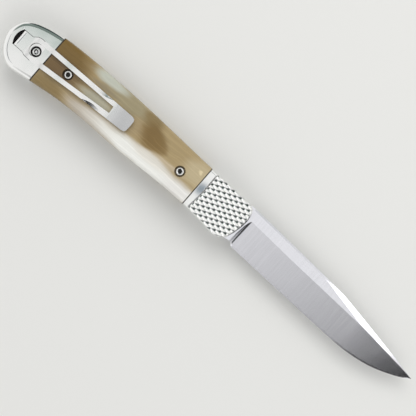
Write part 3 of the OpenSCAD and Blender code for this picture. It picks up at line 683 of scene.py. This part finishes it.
@dataclass(frozen=True)
class PaintedBoard:
    """Board rolled with matt paint, which the knife lies on: pale, with hardly any gloss."""

    name: str = "painted_board"
    colour: str = "e4e4e1"
    grain_size: float = 1.25
    roughness: tuple[float, float] = (0.8, 0.9)
    specular: float = 0.2

    def build(self) -> Material:
        """Makes the material.

        Returns:
            The finished material.
        """
        material, tree, shader = new_material(self.name)
        grain = add(
            tree,
            "TexNoise",
            {"Vector": millimetres(tree), "Scale": 1 / self.grain_size, "Detail": 2.0},
        ).outputs[0]
        rough = add(tree, "MapRange", {"Value": grain, **ends("To", self.roughness)}).outputs[0]
        tree.links.new(rough, shader.inputs["Roughness"])
        shader.inputs["Base Color"].default_value = linear(self.colour)
        shader.inputs["Specular IOR Level"].default_value = self.specular
        return material


class Finish(Enum):
    """Finishes of the knife's pieces."""

    MIRROR = "mirror_polished_stainless_steel"
    KNURL = "polished_knurled_stainless_steel"
    BLADE = "belt_ground_stainless_steel"
    LINER = "satin_stainless_steel"
    FASTENER = "turned_stainless_steel"
    SCREW = "polished_screw_steel"
    # Screw steel painted dark below the head's face as painted shade, with a light grey socket floor
    REAR_SCREW = "rear_screw_steel"
    CLIP = "polished_spring_steel"
    # Painted shade on the clip's broken edges
    CUT_EDGE = "clip_edge_painted_shade"
    HORN_CLIP_SIDE = "buffed_ram_horn_clip_side"
    HORN_SHOW_SIDE = "buffed_ram_horn_show_side"
    CAGE = "moulded_nylon"


# Painted shade over all of a screw but the face of its head
SCREW_SHADE = Recess(x=50.0, y=0.0, half_length=60.0, half_height=20.0, reach=5.3)

STEELS = (
    # Buffed on a loose wheel: it mirrors the whole room, and its recesses are painted dark as painted
    # shade
    GroundSteel(
        Finish.MIRROR.value,
        "f0f0ee",
        0.07,
        roughness_spread=0.03,
        recesses=(
            # Painted shade in the slot of the clip's leg and the seat round it
            Recess(x=6.1, y=0.75, half_length=3.1, half_height=4.4, reach=5.85),
            # Painted shade in the gaps beside the clip's two arms
            Recess(x=12.75, y=4.9, half_length=3.55, half_height=0.5, reach=5.85),
            Recess(x=12.75, y=-3.2, half_length=3.55, half_height=0.6, reach=5.85),
            # Painted shade in the counterbore of the screw
            Recess(x=11.79, y=0.3, half_length=2.1, half_height=2.1, reach=5.25),
        ),
    ),
    # Polished like the bolsters, but softer where it is relieved; its pad is painted greyer as
    # painted shade, and the crease of its foot's bend is painted grey as painted shade
    GroundSteel(
        Finish.CLIP.value,
        "f0f0ee",
        0.2,
        roughness_spread=0.03,
        satin_past=(43.5, 44.1),
        satin_colour="e2e2e2",
        bright_before=(29.0, 34.0),
        bright_roughness=0.1,
        recesses=(
            Recess(x=5.35, y=0.6, half_length=0.09, half_height=2.3, reach=8.5, colour="8b9095"),
        ),
    ),
    # The clip's broken edges are painted dark grey as painted shade, so they outline it
    GroundSteel(Finish.CUT_EDGE.value, "464849", 0.3, roughness_spread=0.03),
    # Cut with a knurl and then buffed, which rounds each ridge into a thin bright line and makes
    # a mirror of the plain band behind the knurl
    GroundSteel(Finish.KNURL.value, "f2f2f0", 0.12, rounding=0.2, bright_before=(83.98, 84.02)),
    # Ground from the edge to the back on a 400 grit belt, which smears what it mirrors; the real
    # lines are 0.03 mm apart, and are drawn 0.45 mm apart so that they show
    GroundSteel(
        Finish.BLADE.value,
        "eeeef3",
        0.21,
        Axis.ACROSS,
        line_spacing=0.45,
        line_length=14.0,
        line_depth=0.001,
        line_tone=0.06,
        roughness_spread=0.012,
    ),
    # Sheet as rolled and brushed along its length: grey, with no clear reflection, and painted dark
    # as painted shade where it shows at the bottom of the clip's slot
    GroundSteel(
        Finish.LINER.value,
        "b8b8b6",
        0.32,
        Axis.ALONG,
        line_spacing=0.3,
        line_length=12.0,
        line_depth=0.002,
        line_tone=0.1,
        recesses=(Recess(x=4.0, y=0.34, half_length=2.0, half_height=3.6, reach=3.5),),
    ),
    # Turned on a lathe: bright, with a soft edge to what it mirrors
    GroundSteel(Finish.FASTENER.value, "dededc", 0.18, roughness_spread=0.05),
    # Polished heads; below the face of each head, socket too, the screw is painted dark as painted
    # shade
    GroundSteel(Finish.SCREW.value, "ececea", 0.12, recesses=(SCREW_SHADE,)),
    # The rear heads have the same painted shade, but the bottom of their sockets is painted light grey
    GroundSteel(
        Finish.REAR_SCREW.value,
        "ececea",
        0.12,
        recesses=(
            SCREW_SHADE,
            Recess(x=11.79, y=0.3, half_length=0.42, half_height=0.42, reach=4.82, colour="d8d8d8"),
        ),
    ),
)

# Colour of the horn between its marks
HORN_COLOUR = "a6926a"

# Marks as the horn of the clip side shows them
CLIP_SIDE_MARKS = (
    Mark(47.0, 8.2, 15.0, 4.6, "9c9172", 1.0),
    Mark(20.0, 7.0, 14.0, 9.0, "775f32", 1.0),
    Mark(21.0, 1.0, 13.0, 5.5, "735d3d", 1.0),
    Mark(21.0, -6.5, 11.0, 4.5, "86724a", 0.9),
    Mark(37.0, 9.4, 9.5, 2.4, "bcbeb0", 1.0),
    Mark(37.0, 6.2, 8.0, 1.6, "8c8169", 0.7),
    Mark(37.5, 1.2, 9.5, 2.8, "b2ad97", 1.0),
    Mark(39.0, -4.6, 14.0, 3.6, "b9b0a1", 1.0),
    Mark(62.0, -4.1, 30.0, 4.4, "ecece6", 1.0),
    Mark(80.0, -3.6, 12.0, 3.9, "e6e4df", 1.0),
    Mark(52.5, 3.0, 5.0, 5.0, "a3906c", 0.8),
    Mark(56.5, 8.4, 6.0, 4.4, "87744d", 1.0),
    Mark(59.5, 4.4, 6.6, 5.6, "7b6338", 1.0),
    Mark(62.8, 3.3, 4.8, 4.1, "7f673b", 0.8),
    Mark(64.0, -1.7, 11.0, 2.7, "dfdbd1", 0.85),
    Mark(80.0, 5.0, 9.0, 6.4, "bdae8c", 0.9),
    Mark(70.0, 0.7, 9.0, 1.5, "cfc2ab", 0.5),
    Mark(79.5, 5.6, 0.9, 0.7, "dfcfa8", 0.8),
)

# Marks made up for the show side, in the same colours
SHOW_SIDE_MARKS = (
    Mark(20.0, 3.0, 14.0, 9.0, "7a6338", 1.0),
    Mark(42.0, 8.0, 17.0, 3.6, "6c5636", 0.9),
    Mark(36.0, 1.0, 10.0, 3.0, "b0a88e", 0.9),
    Mark(54.0, -4.0, 24.0, 3.8, "e6e3da", 1.0),
    Mark(76.0, -3.0, 12.0, 5.0, "d8d2c4", 0.9),
    Mark(60.0, 5.0, 9.0, 4.0, "8a7247", 0.9),
    Mark(72.0, 7.5, 11.0, 3.4, "b4a176", 0.8),
)


def build_finishes() -> dict[Finish, Material]:
    """Makes every material of the knife once.

    Returns:
        The materials by finish.
    """
    finishes = (
        *STEELS,
        RamHorn(Finish.HORN_CLIP_SIDE.value, HORN_COLOUR, CLIP_SIDE_MARKS),
        RamHorn(Finish.HORN_SHOW_SIDE.value, HORN_COLOUR, SHOW_SIDE_MARKS),
        MouldedNylon(Finish.CAGE.value),
    )
    return {Finish(finish.name): finish.build() for finish in finishes}


@dataclass(frozen=True)
class Edges:
    """How the edges of a piece are left: broken by a buff to a width, or crisp at width 0.

    Edges sharper than the crisp angle, in degrees, are the ones that show as edges. The triangles
    of each flat face are joined first, unless joins_flats is off. The broken edges may have a
    finish of their own.
    """

    width: float = 0.05
    crisp_angle: float = 30.0
    segments: int = 2
    joins_flats: bool = True
    finish: Finish | None = None


@dataclass
class SubAssembly:
    """Pieces of the knife that are made and dressed together."""

    finishes: dict[Finish, Material]

    def carry(self, node: str, finish: Finish, edges: Edges) -> None:
        """Dresses a CAD node whose shape stays.

        Args:
            node: The node's name.
            finish: Finish of the whole piece, but for edges that have one of their own.
            edges: How its edges are left.
        """
        piece = frame["nodes"][node]
        piece.data.materials.clear()
        piece.data.materials.append(self.finishes[finish])
        # The stored normals are those of loose triangles; the modifiers work out better ones
        stored = piece.data.attributes.get("custom_normal")
        if stored:
            piece.data.attributes.remove(stored)
        piece.data.shade_smooth()
        weld = piece.modifiers.new("weld", "WELD")
        weld.merge_threshold = WELD_DISTANCE * MM
        if edges.joins_flats:
            joined = piece.modifiers.new("flat_faces", "DECIMATE")
            joined.decimate_type = "DISSOLVE"
            joined.angle_limit = math.radians(FLAT_ANGLE)
        if edges.width > 0:
            broken = piece.modifiers.new("broken_edges", "BEVEL")
            broken.limit_method = "ANGLE"
            broken.angle_limit = math.radians(edges.crisp_angle)
            broken.width = edges.width * MM
            broken.segments = edges.segments
            if edges.finish:
                piece.data.materials.append(self.finishes[edges.finish])
                broken.material = 1
        else:
            split = piece.modifiers.new("crisp_edges", "EDGE_SPLIT")
            split.split_angle = math.radians(edges.crisp_angle)
        even = piece.modifiers.new("even_faces", "WEIGHTED_NORMAL")
        even.weight = FLAT_WEIGHT
        log.info("dressed %s as %s", node, finish.value)

    def place(
        self,
        shape: bmesh.types.BMesh,
        name: str,
        node: str,
        body: str,
        slot: str,
        finish: Finish,
    ) -> None:
        """Makes a piece of a shape in millimetres, and says which CAD node it stands for.

        Args:
            shape: The shape, in the knife's own measure. It is freed.
            name: The piece's name.
            node: CAD node that it replaces.
            body: Body that it rides on.
            slot: Material slot of the record; not used.
            finish: Finish of the whole piece.
        """
        bmesh.ops.translate(shape, verts=shape.verts, vec=(OFFSET_X, OFFSET_Y, 0.0))
        bmesh.ops.scale(shape, verts=shape.verts, vec=(MM, MM, MM))
        bmesh.ops.recalc_face_normals(shape, faces=shape.faces)
        mesh = bpy.data.meshes.new(name)
        shape.to_mesh(mesh)
        shape.free()
        mesh.shade_smooth()
        mesh.set_sharp_from_angle(angle=math.radians(SHARP_ANGLE))
        mesh.materials.append(self.finishes[finish])
        piece = bpy.data.objects.new(name, mesh)
        bpy.context.scene.collection.objects.link(piece)
        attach(piece, body)
        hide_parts(node)
        log.info("built %s for %s as %s", name, node, finish.value)


@dataclass
class Blade(SubAssembly):
    """Clip point blade with its tang and flipper, and the stop pin pressed through the tang."""

    grind_angle: float = 4.0
    pin_edge: float = 0.05

    def build(self) -> None:
        """Dresses the blade, whose grinds meet at crisp lines, and its pin."""
        self.carry("blade", Finish.BLADE, Edges(0.0, self.grind_angle))
        self.carry("stop_pin", Finish.FASTENER, Edges(self.pin_edge))


@dataclass
class PivotBearings(SubAssembly):
    """Pivot barrel and screw, and the caged ball bearings on each side of the tang."""

    orbit: float = 3.42
    ball_radius: float = 0.59
    balls: int = 9
    ball_segments: int = 24
    edge: float = 0.05

    def build(self) -> None:
        """Dresses the pivot and the cages, and makes the balls."""
        self.carry("pivot_barrel", Finish.FASTENER, Edges(self.edge))
        self.carry("pivot_screw", Finish.FASTENER, Edges(self.edge))
        for side in Side:
            self.carry(f"bearing_cage_{side.word}", Finish.CAGE, Edges(self.edge))
            self.build_balls(side)

    def build_balls(self, side: Side) -> None:
        """Makes one ring of polished balls, rounder than the CAD's.

        Args:
            side: Side of the knife.
        """
        shape = bmesh.new()
        pivot_x, pivot_y, level = joint_place(f"bearing_{side.word}_spin")
        for number in range(self.balls):
            turn = math.tau * number / self.balls
            x = pivot_x - OFFSET_X + self.orbit * math.cos(turn)
            y = pivot_y - OFFSET_Y + self.orbit * math.sin(turn)
            bmesh.ops.create_uvsphere(
                shape,
                u_segments=self.ball_segments,
                v_segments=self.ball_segments // 2,
                radius=self.ball_radius,
                matrix=Matrix.Translation((x, y, level)),
            )
        self.place(
            shape,
            f"polished_balls_{side.word}",
            f"bearing_balls_{side.word}",
            f"bearing_{side.word}",
            "fastener_steel",
            Finish.FASTENER,
        )


@dataclass
class LinerLock(SubAssembly):
    """Liners, the lock bar with its detent ball, the backspacer and the hidden screws."""

    liner_edge: float = 0.05
    backspacer_edge: float = 0.08

    def build(self) -> None:
        """Dresses the steel between the two sides."""
        for side in Side:
            self.carry(f"liner_{side.word}", Finish.LINER, Edges(self.liner_edge))
            self.carry(f"backspacer_screws_{side.word}", Finish.FASTENER, Edges(self.liner_edge))
        self.carry("lock_bar", Finish.LINER, Edges(self.liner_edge))
        self.carry("detent_ball", Finish.FASTENER, Edges(0.0))
        self.carry("backspacer", Finish.LINER, Edges(self.backspacer_edge))


@dataclass
class FrontBolsters(SubAssembly):
    """Front bolsters with a plain band and a knurled grip, and the screws behind them."""

    knurl_angle: float = 20.0
    screw_edge: float = 0.05

    def build(self) -> None:
        """Dresses the bolsters, whose knurl stays crisp, and their screws."""
        for side in Side:
            self.carry(
                f"bolster_front_{side.word}",
                Finish.KNURL,
                Edges(0.0, self.knurl_angle, joins_flats=False),
            )
            self.carry(f"bolster_screws_{side.word}", Finish.FASTENER, Edges(self.screw_edge))


@dataclass(frozen=True)
class SocketScrew:
    """Cap screw with a hexagon socket; levels are millimetres out from the knife's mid plane."""

    head_radius: float
    thread_radius: float = 0.8
    thread_end: float = 1.85
    seat: float = 4.4
    top: float = 5.4
    chamfer: float = 0.22
    broken_edge: float = 0.05
    broken_segments: int = 2
    mouth_radius: float = 0.93
    socket_radius: float = 0.85
    mouth_depth: float = 0.07
    socket_depth: float = 0.6
    drill_depth: float = 0.18
    segments: int = 48
    tolerance: float = 0.01

    def add_to(self, shape: bmesh.types.BMesh, x: float, y: float, side: Side) -> None:
        """Turns the screw, broaches its socket and sets it in its place.

        Args:
            shape: Shape that the screw joins.
            x: Millimetres from the butt.
            y: Millimetres above the level of the pivot.
            side: Side of the knife that the head is on.
        """
        screw = bmesh.new()
        self.turn_body(screw)
        self.broach_socket(screw)
        bmesh.ops.scale(screw, verts=screw.verts, vec=(1.0, 1.0, side.value))
        bmesh.ops.translate(screw, verts=screw.verts, vec=(x, y, MID_PLANE))
        bmesh.ops.recalc_face_normals(screw, faces=screw.faces)
        made = bpy.data.meshes.new("screw")
        screw.to_mesh(made)
        screw.free()
        shape.from_mesh(made)
        bpy.data.meshes.remove(made)

    def turn_body(self, screw: bmesh.types.BMesh) -> None:
        """Spins the half section of the thread and the head, open at the socket's mouth.

        Args:
            screw: Empty shape.
        """
        section = (
            (self.thread_radius - self.broken_edge, self.thread_end),
            (self.thread_radius, self.thread_end + self.broken_edge),
            (self.thread_radius, self.seat),
            (self.head_radius, self.seat),
            (self.head_radius, self.top - self.chamfer),
            (self.head_radius - self.chamfer, self.top),
            (self.mouth_radius, self.top),
        )
        line = [screw.verts.new((radius, 0.0, level)) for radius, level in section]
        sides = [screw.edges.new(pair) for pair in zip(line, line[1:])]
        bmesh.ops.spin(
            screw,
            geom=line + sides,
            axis=(0, 0, 1),
            cent=(0, 0, 0),
            angle=math.tau,
            steps=self.segments,
            use_merge=True,
        )
        end = [e for e in screw.edges if e.is_boundary and e.verts[0].co.z < self.seat]
        bmesh.ops.edgeloop_fill(screw, edges=end)
        rim = [e for e in screw.edges if self.is_head_rim(e)]
        bmesh.ops.bevel(
            screw,
            geom=rim,
            affect="EDGES",
            offset=self.broken_edge,
            segments=self.broken_segments,
            profile=0.5,
            material=-1,
        )

    def is_head_rim(self, edge: bmesh.types.BMEdge) -> bool:
        """Whether an edge is in one of the two rings of the head's chamfer.

        Args:
            edge: Edge of the turned body.

        Returns:
            True where both of its ends are on the same ring.
        """
        rings = (
            (self.head_radius, self.top - self.chamfer),
            (self.head_radius - self.chamfer, self.top),
        )
        return any(
            all(
                abs(v.co.xy.length - radius) < self.tolerance
                and abs(v.co.z - level) < self.tolerance
                for v in edge.verts
            )
            for radius, level in rings
        )

    def broach_socket(self, screw: bmesh.types.BMesh) -> None:
        """Joins the round mouth to a hexagon and sinks it, down to the point of its drill.

        Args:
            screw: The turned body.
        """
        mouth = [e for e in screw.edges if e.is_boundary]
        corners = bmesh.ops.create_circle(
            screw,
            cap_ends=False,
            segments=6,
            radius=self.socket_radius,
            matrix=Matrix.Translation((0.0, 0.0, self.top - self.mouth_depth)),
        )["verts"]
        hexagon = list({e for v in corners for e in v.link_edges})
        bmesh.ops.bridge_loops(screw, edges=mouth + hexagon)
        sunk = bmesh.ops.extrude_edge_only(screw, edges=hexagon)["geom"]
        low = [g for g in sunk if isinstance(g, bmesh.types.BMVert)]
        bmesh.ops.translate(screw, verts=low, vec=(0.0, 0.0, self.mouth_depth - self.socket_depth))
        floor_line = [e for e in screw.edges if e.is_boundary]
        floor = bmesh.ops.edgeloop_fill(screw, edges=floor_line)["faces"]
        point = bmesh.ops.poke(screw, faces=floor)["verts"]
        bmesh.ops.translate(screw, verts=point, vec=(0.0, 0.0, -self.drill_depth))


@dataclass
class HornScales(SubAssembly):
    """Horn scales, each held by two cap screws in counterbores."""

    edge: float = 0.08
    screw: SocketScrew = SocketScrew(head_radius=1.48)
    screw_places: tuple[tuple[float, float], ...] = ((24.79, 1.499), (73.863, 1.651))

    def build(self) -> None:
        """Dresses the scales and makes their screws."""
        for side, finish in ((Side.SHOW, Finish.HORN_SHOW_SIDE), (Side.CLIP, Finish.HORN_CLIP_SIDE)):
            self.carry(f"scale_{side.word}", finish, Edges(self.edge))
            shape = bmesh.new()
            for x, y in self.screw_places:
                self.screw.add_to(shape, x, y, side)
            self.place(
                shape,
                f"scale_cap_screws_{side.word}",
                f"scale_screws_{side.word}",
                "handle",
                "fastener_steel",
                Finish.SCREW,
            )


@dataclass
class RearBolsters(SubAssembly):
    """Polished rear bolsters, each held by one cap screw."""

    edge: float = 0.12
    screw: SocketScrew = SocketScrew(head_radius=1.35)
    screw_place: tuple[float, float] = (11.786, 0.304)

    def build(self) -> None:
        """Dresses the bolsters and makes their screws."""
        for side in Side:
            self.carry(f"bolster_rear_{side.word}", Finish.MIRROR, Edges(self.edge))
            shape = bmesh.new()
            self.screw.add_to(shape, *self.screw_place, side)
            self.place(
                shape,
                f"rear_cap_screw_{side.word}",
                f"rear_screw_{side.word}",
                "handle",
                "fastener_steel",
                Finish.REAR_SCREW,
            )


@dataclass
class PocketClip(SubAssembly):
    """Pocket clip, one bent strip with a long window and a flat pad."""

    edge: float = 0.14
    crisp_angle: float = 14.0

    def build(self) -> None:
        """Dresses the clip, whose edges the buff has rounded, and paints those edges dark grey as
        painted shade.
        """
        edges = Edges(self.edge, self.crisp_angle, finish=Finish.CUT_EDGE)
        self.carry("pocket_clip", Finish.CLIP, edges)


@dataclass(frozen=True)
class Patch:
    """Thing in the room that metal mirrors, round one direction, in degrees.

    It fades in from the cosine where it starts to the one where it is full. Its colour is linear.
    """

    azimuth: float
    elevation: float
    start: float
    full: float
    colour: tuple[float, float, float]


@dataclass(frozen=True)
class SoftBox:
    """Square lamp that faces the knife: its place and size in metres, and its power in watts."""

    name: str
    place: tuple[float, float, float]
    size: float
    power: float
    mirrored: bool


@dataclass
class Studio:
    """Pale floor, soft light and the camera that looks straight down on the clip side.

    The floor's half width and the camera's clipping distances are metres, and its roll is degrees.
    """

    frame_width: float = 138.8
    focus_height: float = 9.0
    centre: tuple[float, float] = (88.86, -1.4)
    roll: float = 41.0
    lens: float = 150.0
    sensor: float = 36.0
    clip_start: float = 0.01
    clip_end: float = 20.0
    floor: PaintedBoard = PaintedBoard()
    floor_half_width: float = 1.5
    floor_gap: float = 0.02
    even_light: float = 0.66
    # Brightness of the room by the sine of the angle above the horizon
    walls: tuple[tuple[float, float], ...] = (
        (0.0, 0.85),
        (0.2, 1.0),
        (0.55, 1.0),
        (0.8, 0.92),
        (0.95, 0.9),
        (0.985, 0.93),
        (1.0, 0.95),
    )
    patches: tuple[Patch, ...] = (
        # White card on the edge's side, which keeps the whole grind of the blade light
        Patch(-80.0, 52.0, 0.86, 0.98, (0.97, 0.97, 0.97)),
        # Grey green screens behind the knife, in the upper rim of the rear bolster
        Patch(122.0, 55.0, 0.927, 0.955, (0.2, 0.25, 0.23)),
        Patch(140.0, 52.0, 0.92, 0.965, (0.2, 0.25, 0.23)),
        # Unlit doorway, in one wall of each pit of the knurl
        Patch(113.7, 20.0, 0.93, 0.975, (0.04, 0.06, 0.055)),
        # Unlit corner in front of the tip, in the step at the blade's heel
        Patch(0.0, 26.0, 0.92, 0.97, (0.05, 0.06, 0.06)),
        # Black cards that darken the blade towards its tip and along its edge
        Patch(-52.0, 52.0, 0.882, 0.948, (0.02, 0.02, 0.02)),
        Patch(-28.0, 47.0, 0.862, 0.92, (0.02, 0.02, 0.02)),
        # Window bar, in the thin line inside the lower rim of the rear bolster
        Patch(-149.0, 66.7, 0.974, 0.9945, (0.1, 0.11, 0.13)),
        # Edge of the ceiling, in the upper half of the rear bolster
        Patch(160.0, 81.0, 0.9983, 0.9994, (0.5, 0.58, 0.55)),
        # The camera's lens, in the polished band of the front bolster
        Patch(150.0, 89.33, 0.999988, 0.9999985, (0.14, 0.2, 0.26)),
    )
    lamps: tuple[SoftBox, ...] = (
        SoftBox("key_box", (-0.3, 0.5, 0.9), 0.7, 3.6, False),
        SoftBox("fill_box", (0.5, -0.4, 0.9), 0.7, 1.6, False),
        SoftBox("tip_box", (0.165, 0.28, 0.28), 0.15, 0.1, True),
    )

    def build(self) -> None:
        """Makes the floor, the world, the lamps and the camera, and sets the view transform."""
        self.build_floor()
        self.build_world()
        for lamp in self.lamps:
            self.build_lamp(lamp)
        self.build_camera()
        bpy.context.scene.view_settings.view_transform = "Standard"

    def build_floor(self) -> None:
        """Makes the plain pale floor, which lies just clear of the knife."""
        shape = bmesh.new()
        bmesh.ops.create_grid(shape, x_segments=1, y_segments=1, size=self.floor_half_width)
        bmesh.ops.translate(shape, verts=shape.verts, vec=(0.0, 0.0, -self.floor_gap * MM))
        mesh = bpy.data.meshes.new("floor")
        shape.to_mesh(mesh)
        shape.free()
        mesh.materials.append(self.floor.build())
        floor = bpy.data.objects.new("floor", mesh)
        bpy.context.scene.collection.objects.link(floor)

    def build_world(self) -> None:
        """Makes the room that metal mirrors, and the even light that falls on everything."""
        world = bpy.data.worlds.new("studio")
        bpy.context.scene.world = world
        world.use_nodes = True
        tree = world.node_tree
        tree.nodes.clear()
        plain = add(tree, "Background", {"Color": linear(self.floor.colour), "Strength": 1.0})
        mirrored = add(tree, "Background", {"Color": self.furnish_room(tree), "Strength": 1.0})
        even = add(tree, "Background", {"Color": (1.0, 1.0, 1.0, 1.0), "Strength": self.even_light})
        ray = add(tree, "LightPath").outputs
        sharp = add(
            tree,
            "Math",
            {0: ray["Is Glossy Ray"], 1: ray["Is Transmission Ray"]},
            operation="MAXIMUM",
        ).outputs[0]
        lit = add(tree, "MixShader", {0: sharp, 1: even.outputs[0], 2: mirrored.outputs[0]})
        all_rays = add(
            tree, "MixShader", {0: ray["Is Camera Ray"], 1: lit.outputs[0], 2: plain.outputs[0]}
        )
        add(tree, "OutputWorld", {"Surface": all_rays.outputs[0]})

    def furnish_room(self, tree: Tree) -> Socket:
        """Paints the room's walls by their height and puts the patches in front of them.

        Args:
            tree: The world's node tree.

        Returns:
            The room's colour in the direction looked in.
        """
        direction = add(tree, "TexCoord").outputs["Generated"]
        height = add(tree, "SeparateXYZ", {0: direction}).outputs["Z"]
        ramp = add(tree, "ValToRGB", {"Fac": height})
        stops = ramp.color_ramp.elements
        stops[1].position = 1.0
        for position, _ in self.walls[1:-1]:
            stops.new(position)
        for stop, (_, level) in zip(stops, self.walls):
            stop.color = (level, level, level, 1.0)
        room = ramp.outputs["Color"]
        for patch in self.patches:
            room = add(
                tree,
                "Mix",
                {
                    "Factor": self.towards(tree, direction, patch),
                    COLOUR_A: room,
                    COLOUR_B: (*patch.colour, 1.0),
                },
                data_type="RGBA",
            ).outputs[COLOUR_MIXED]
        return room

    def towards(self, tree: Tree, direction: Socket, patch: Patch) -> Socket:
        """How far a direction of the room lies in a patch of it.

        Args:
            tree: The world's node tree.
            direction: Direction looked in.
            patch: The patch.

        Returns:
            Factor from 0 to 1.
        """
        turn, tilt = math.radians(patch.azimuth), math.radians(patch.elevation)
        middle = (math.cos(turn) * math.cos(tilt), math.sin(turn) * math.cos(tilt), math.sin(tilt))
        near = add(tree, "VectorMath", {0: direction, 1: middle}, operation="DOT_PRODUCT")
        return add(
            tree,
            "MapRange",
            {"Value": near.outputs["Value"], **ends("From", (patch.start, patch.full))},
            interpolation_type="SMOOTHSTEP",
        ).outputs[0]

    def build_lamp(self, box: SoftBox) -> None:
        """Makes one soft box that faces the knife.

        Args:
            box: The soft box.
        """
        lamp = bpy.data.lights.new(box.name, "AREA")
        lamp.shape = "SQUARE"
        lamp.size = box.size
        lamp.energy = box.power
        placed = bpy.data.objects.new(box.name, lamp)
        placed.location = box.place
        placed.rotation_euler = (-Vector(box.place)).to_track_quat("-Z", "Y").to_euler()
        placed.visible_glossy = box.mirrored
        bpy.context.scene.collection.objects.link(placed)

    def build_camera(self) -> None:
        """Makes the camera at the photograph's viewing angle, with a long lens."""
        data = bpy.data.cameras.new("camera")
        data.lens = self.lens
        data.sensor_width = self.sensor
        data.clip_start = self.clip_start
        data.clip_end = self.clip_end
        distance = self.frame_width * self.lens / self.sensor
        camera = bpy.data.objects.new("camera", data)
        camera.location = row(self.centre[0], self.centre[1], self.focus_height + distance)
        camera.rotation_euler = (0.0, 0.0, math.radians(self.roll))
        bpy.context.scene.collection.objects.link(camera)
        bpy.context.scene.camera = camera


def main() -> None:
    """Builds the studio and every sub-assembly of the knife."""
    logging.basicConfig(level=logging.INFO, format="%(message)s")
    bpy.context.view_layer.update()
    Studio().build()
    finishes = build_finishes()
    for assembly in (
        Blade(finishes),
        PivotBearings(finishes),
        LinerLock(finishes),
        FrontBolsters(finishes),
        HornScales(finishes),
        RearBolsters(finishes),
        PocketClip(finishes),
    ):
        assembly.build()


if __name__ == "__main__":
    main()
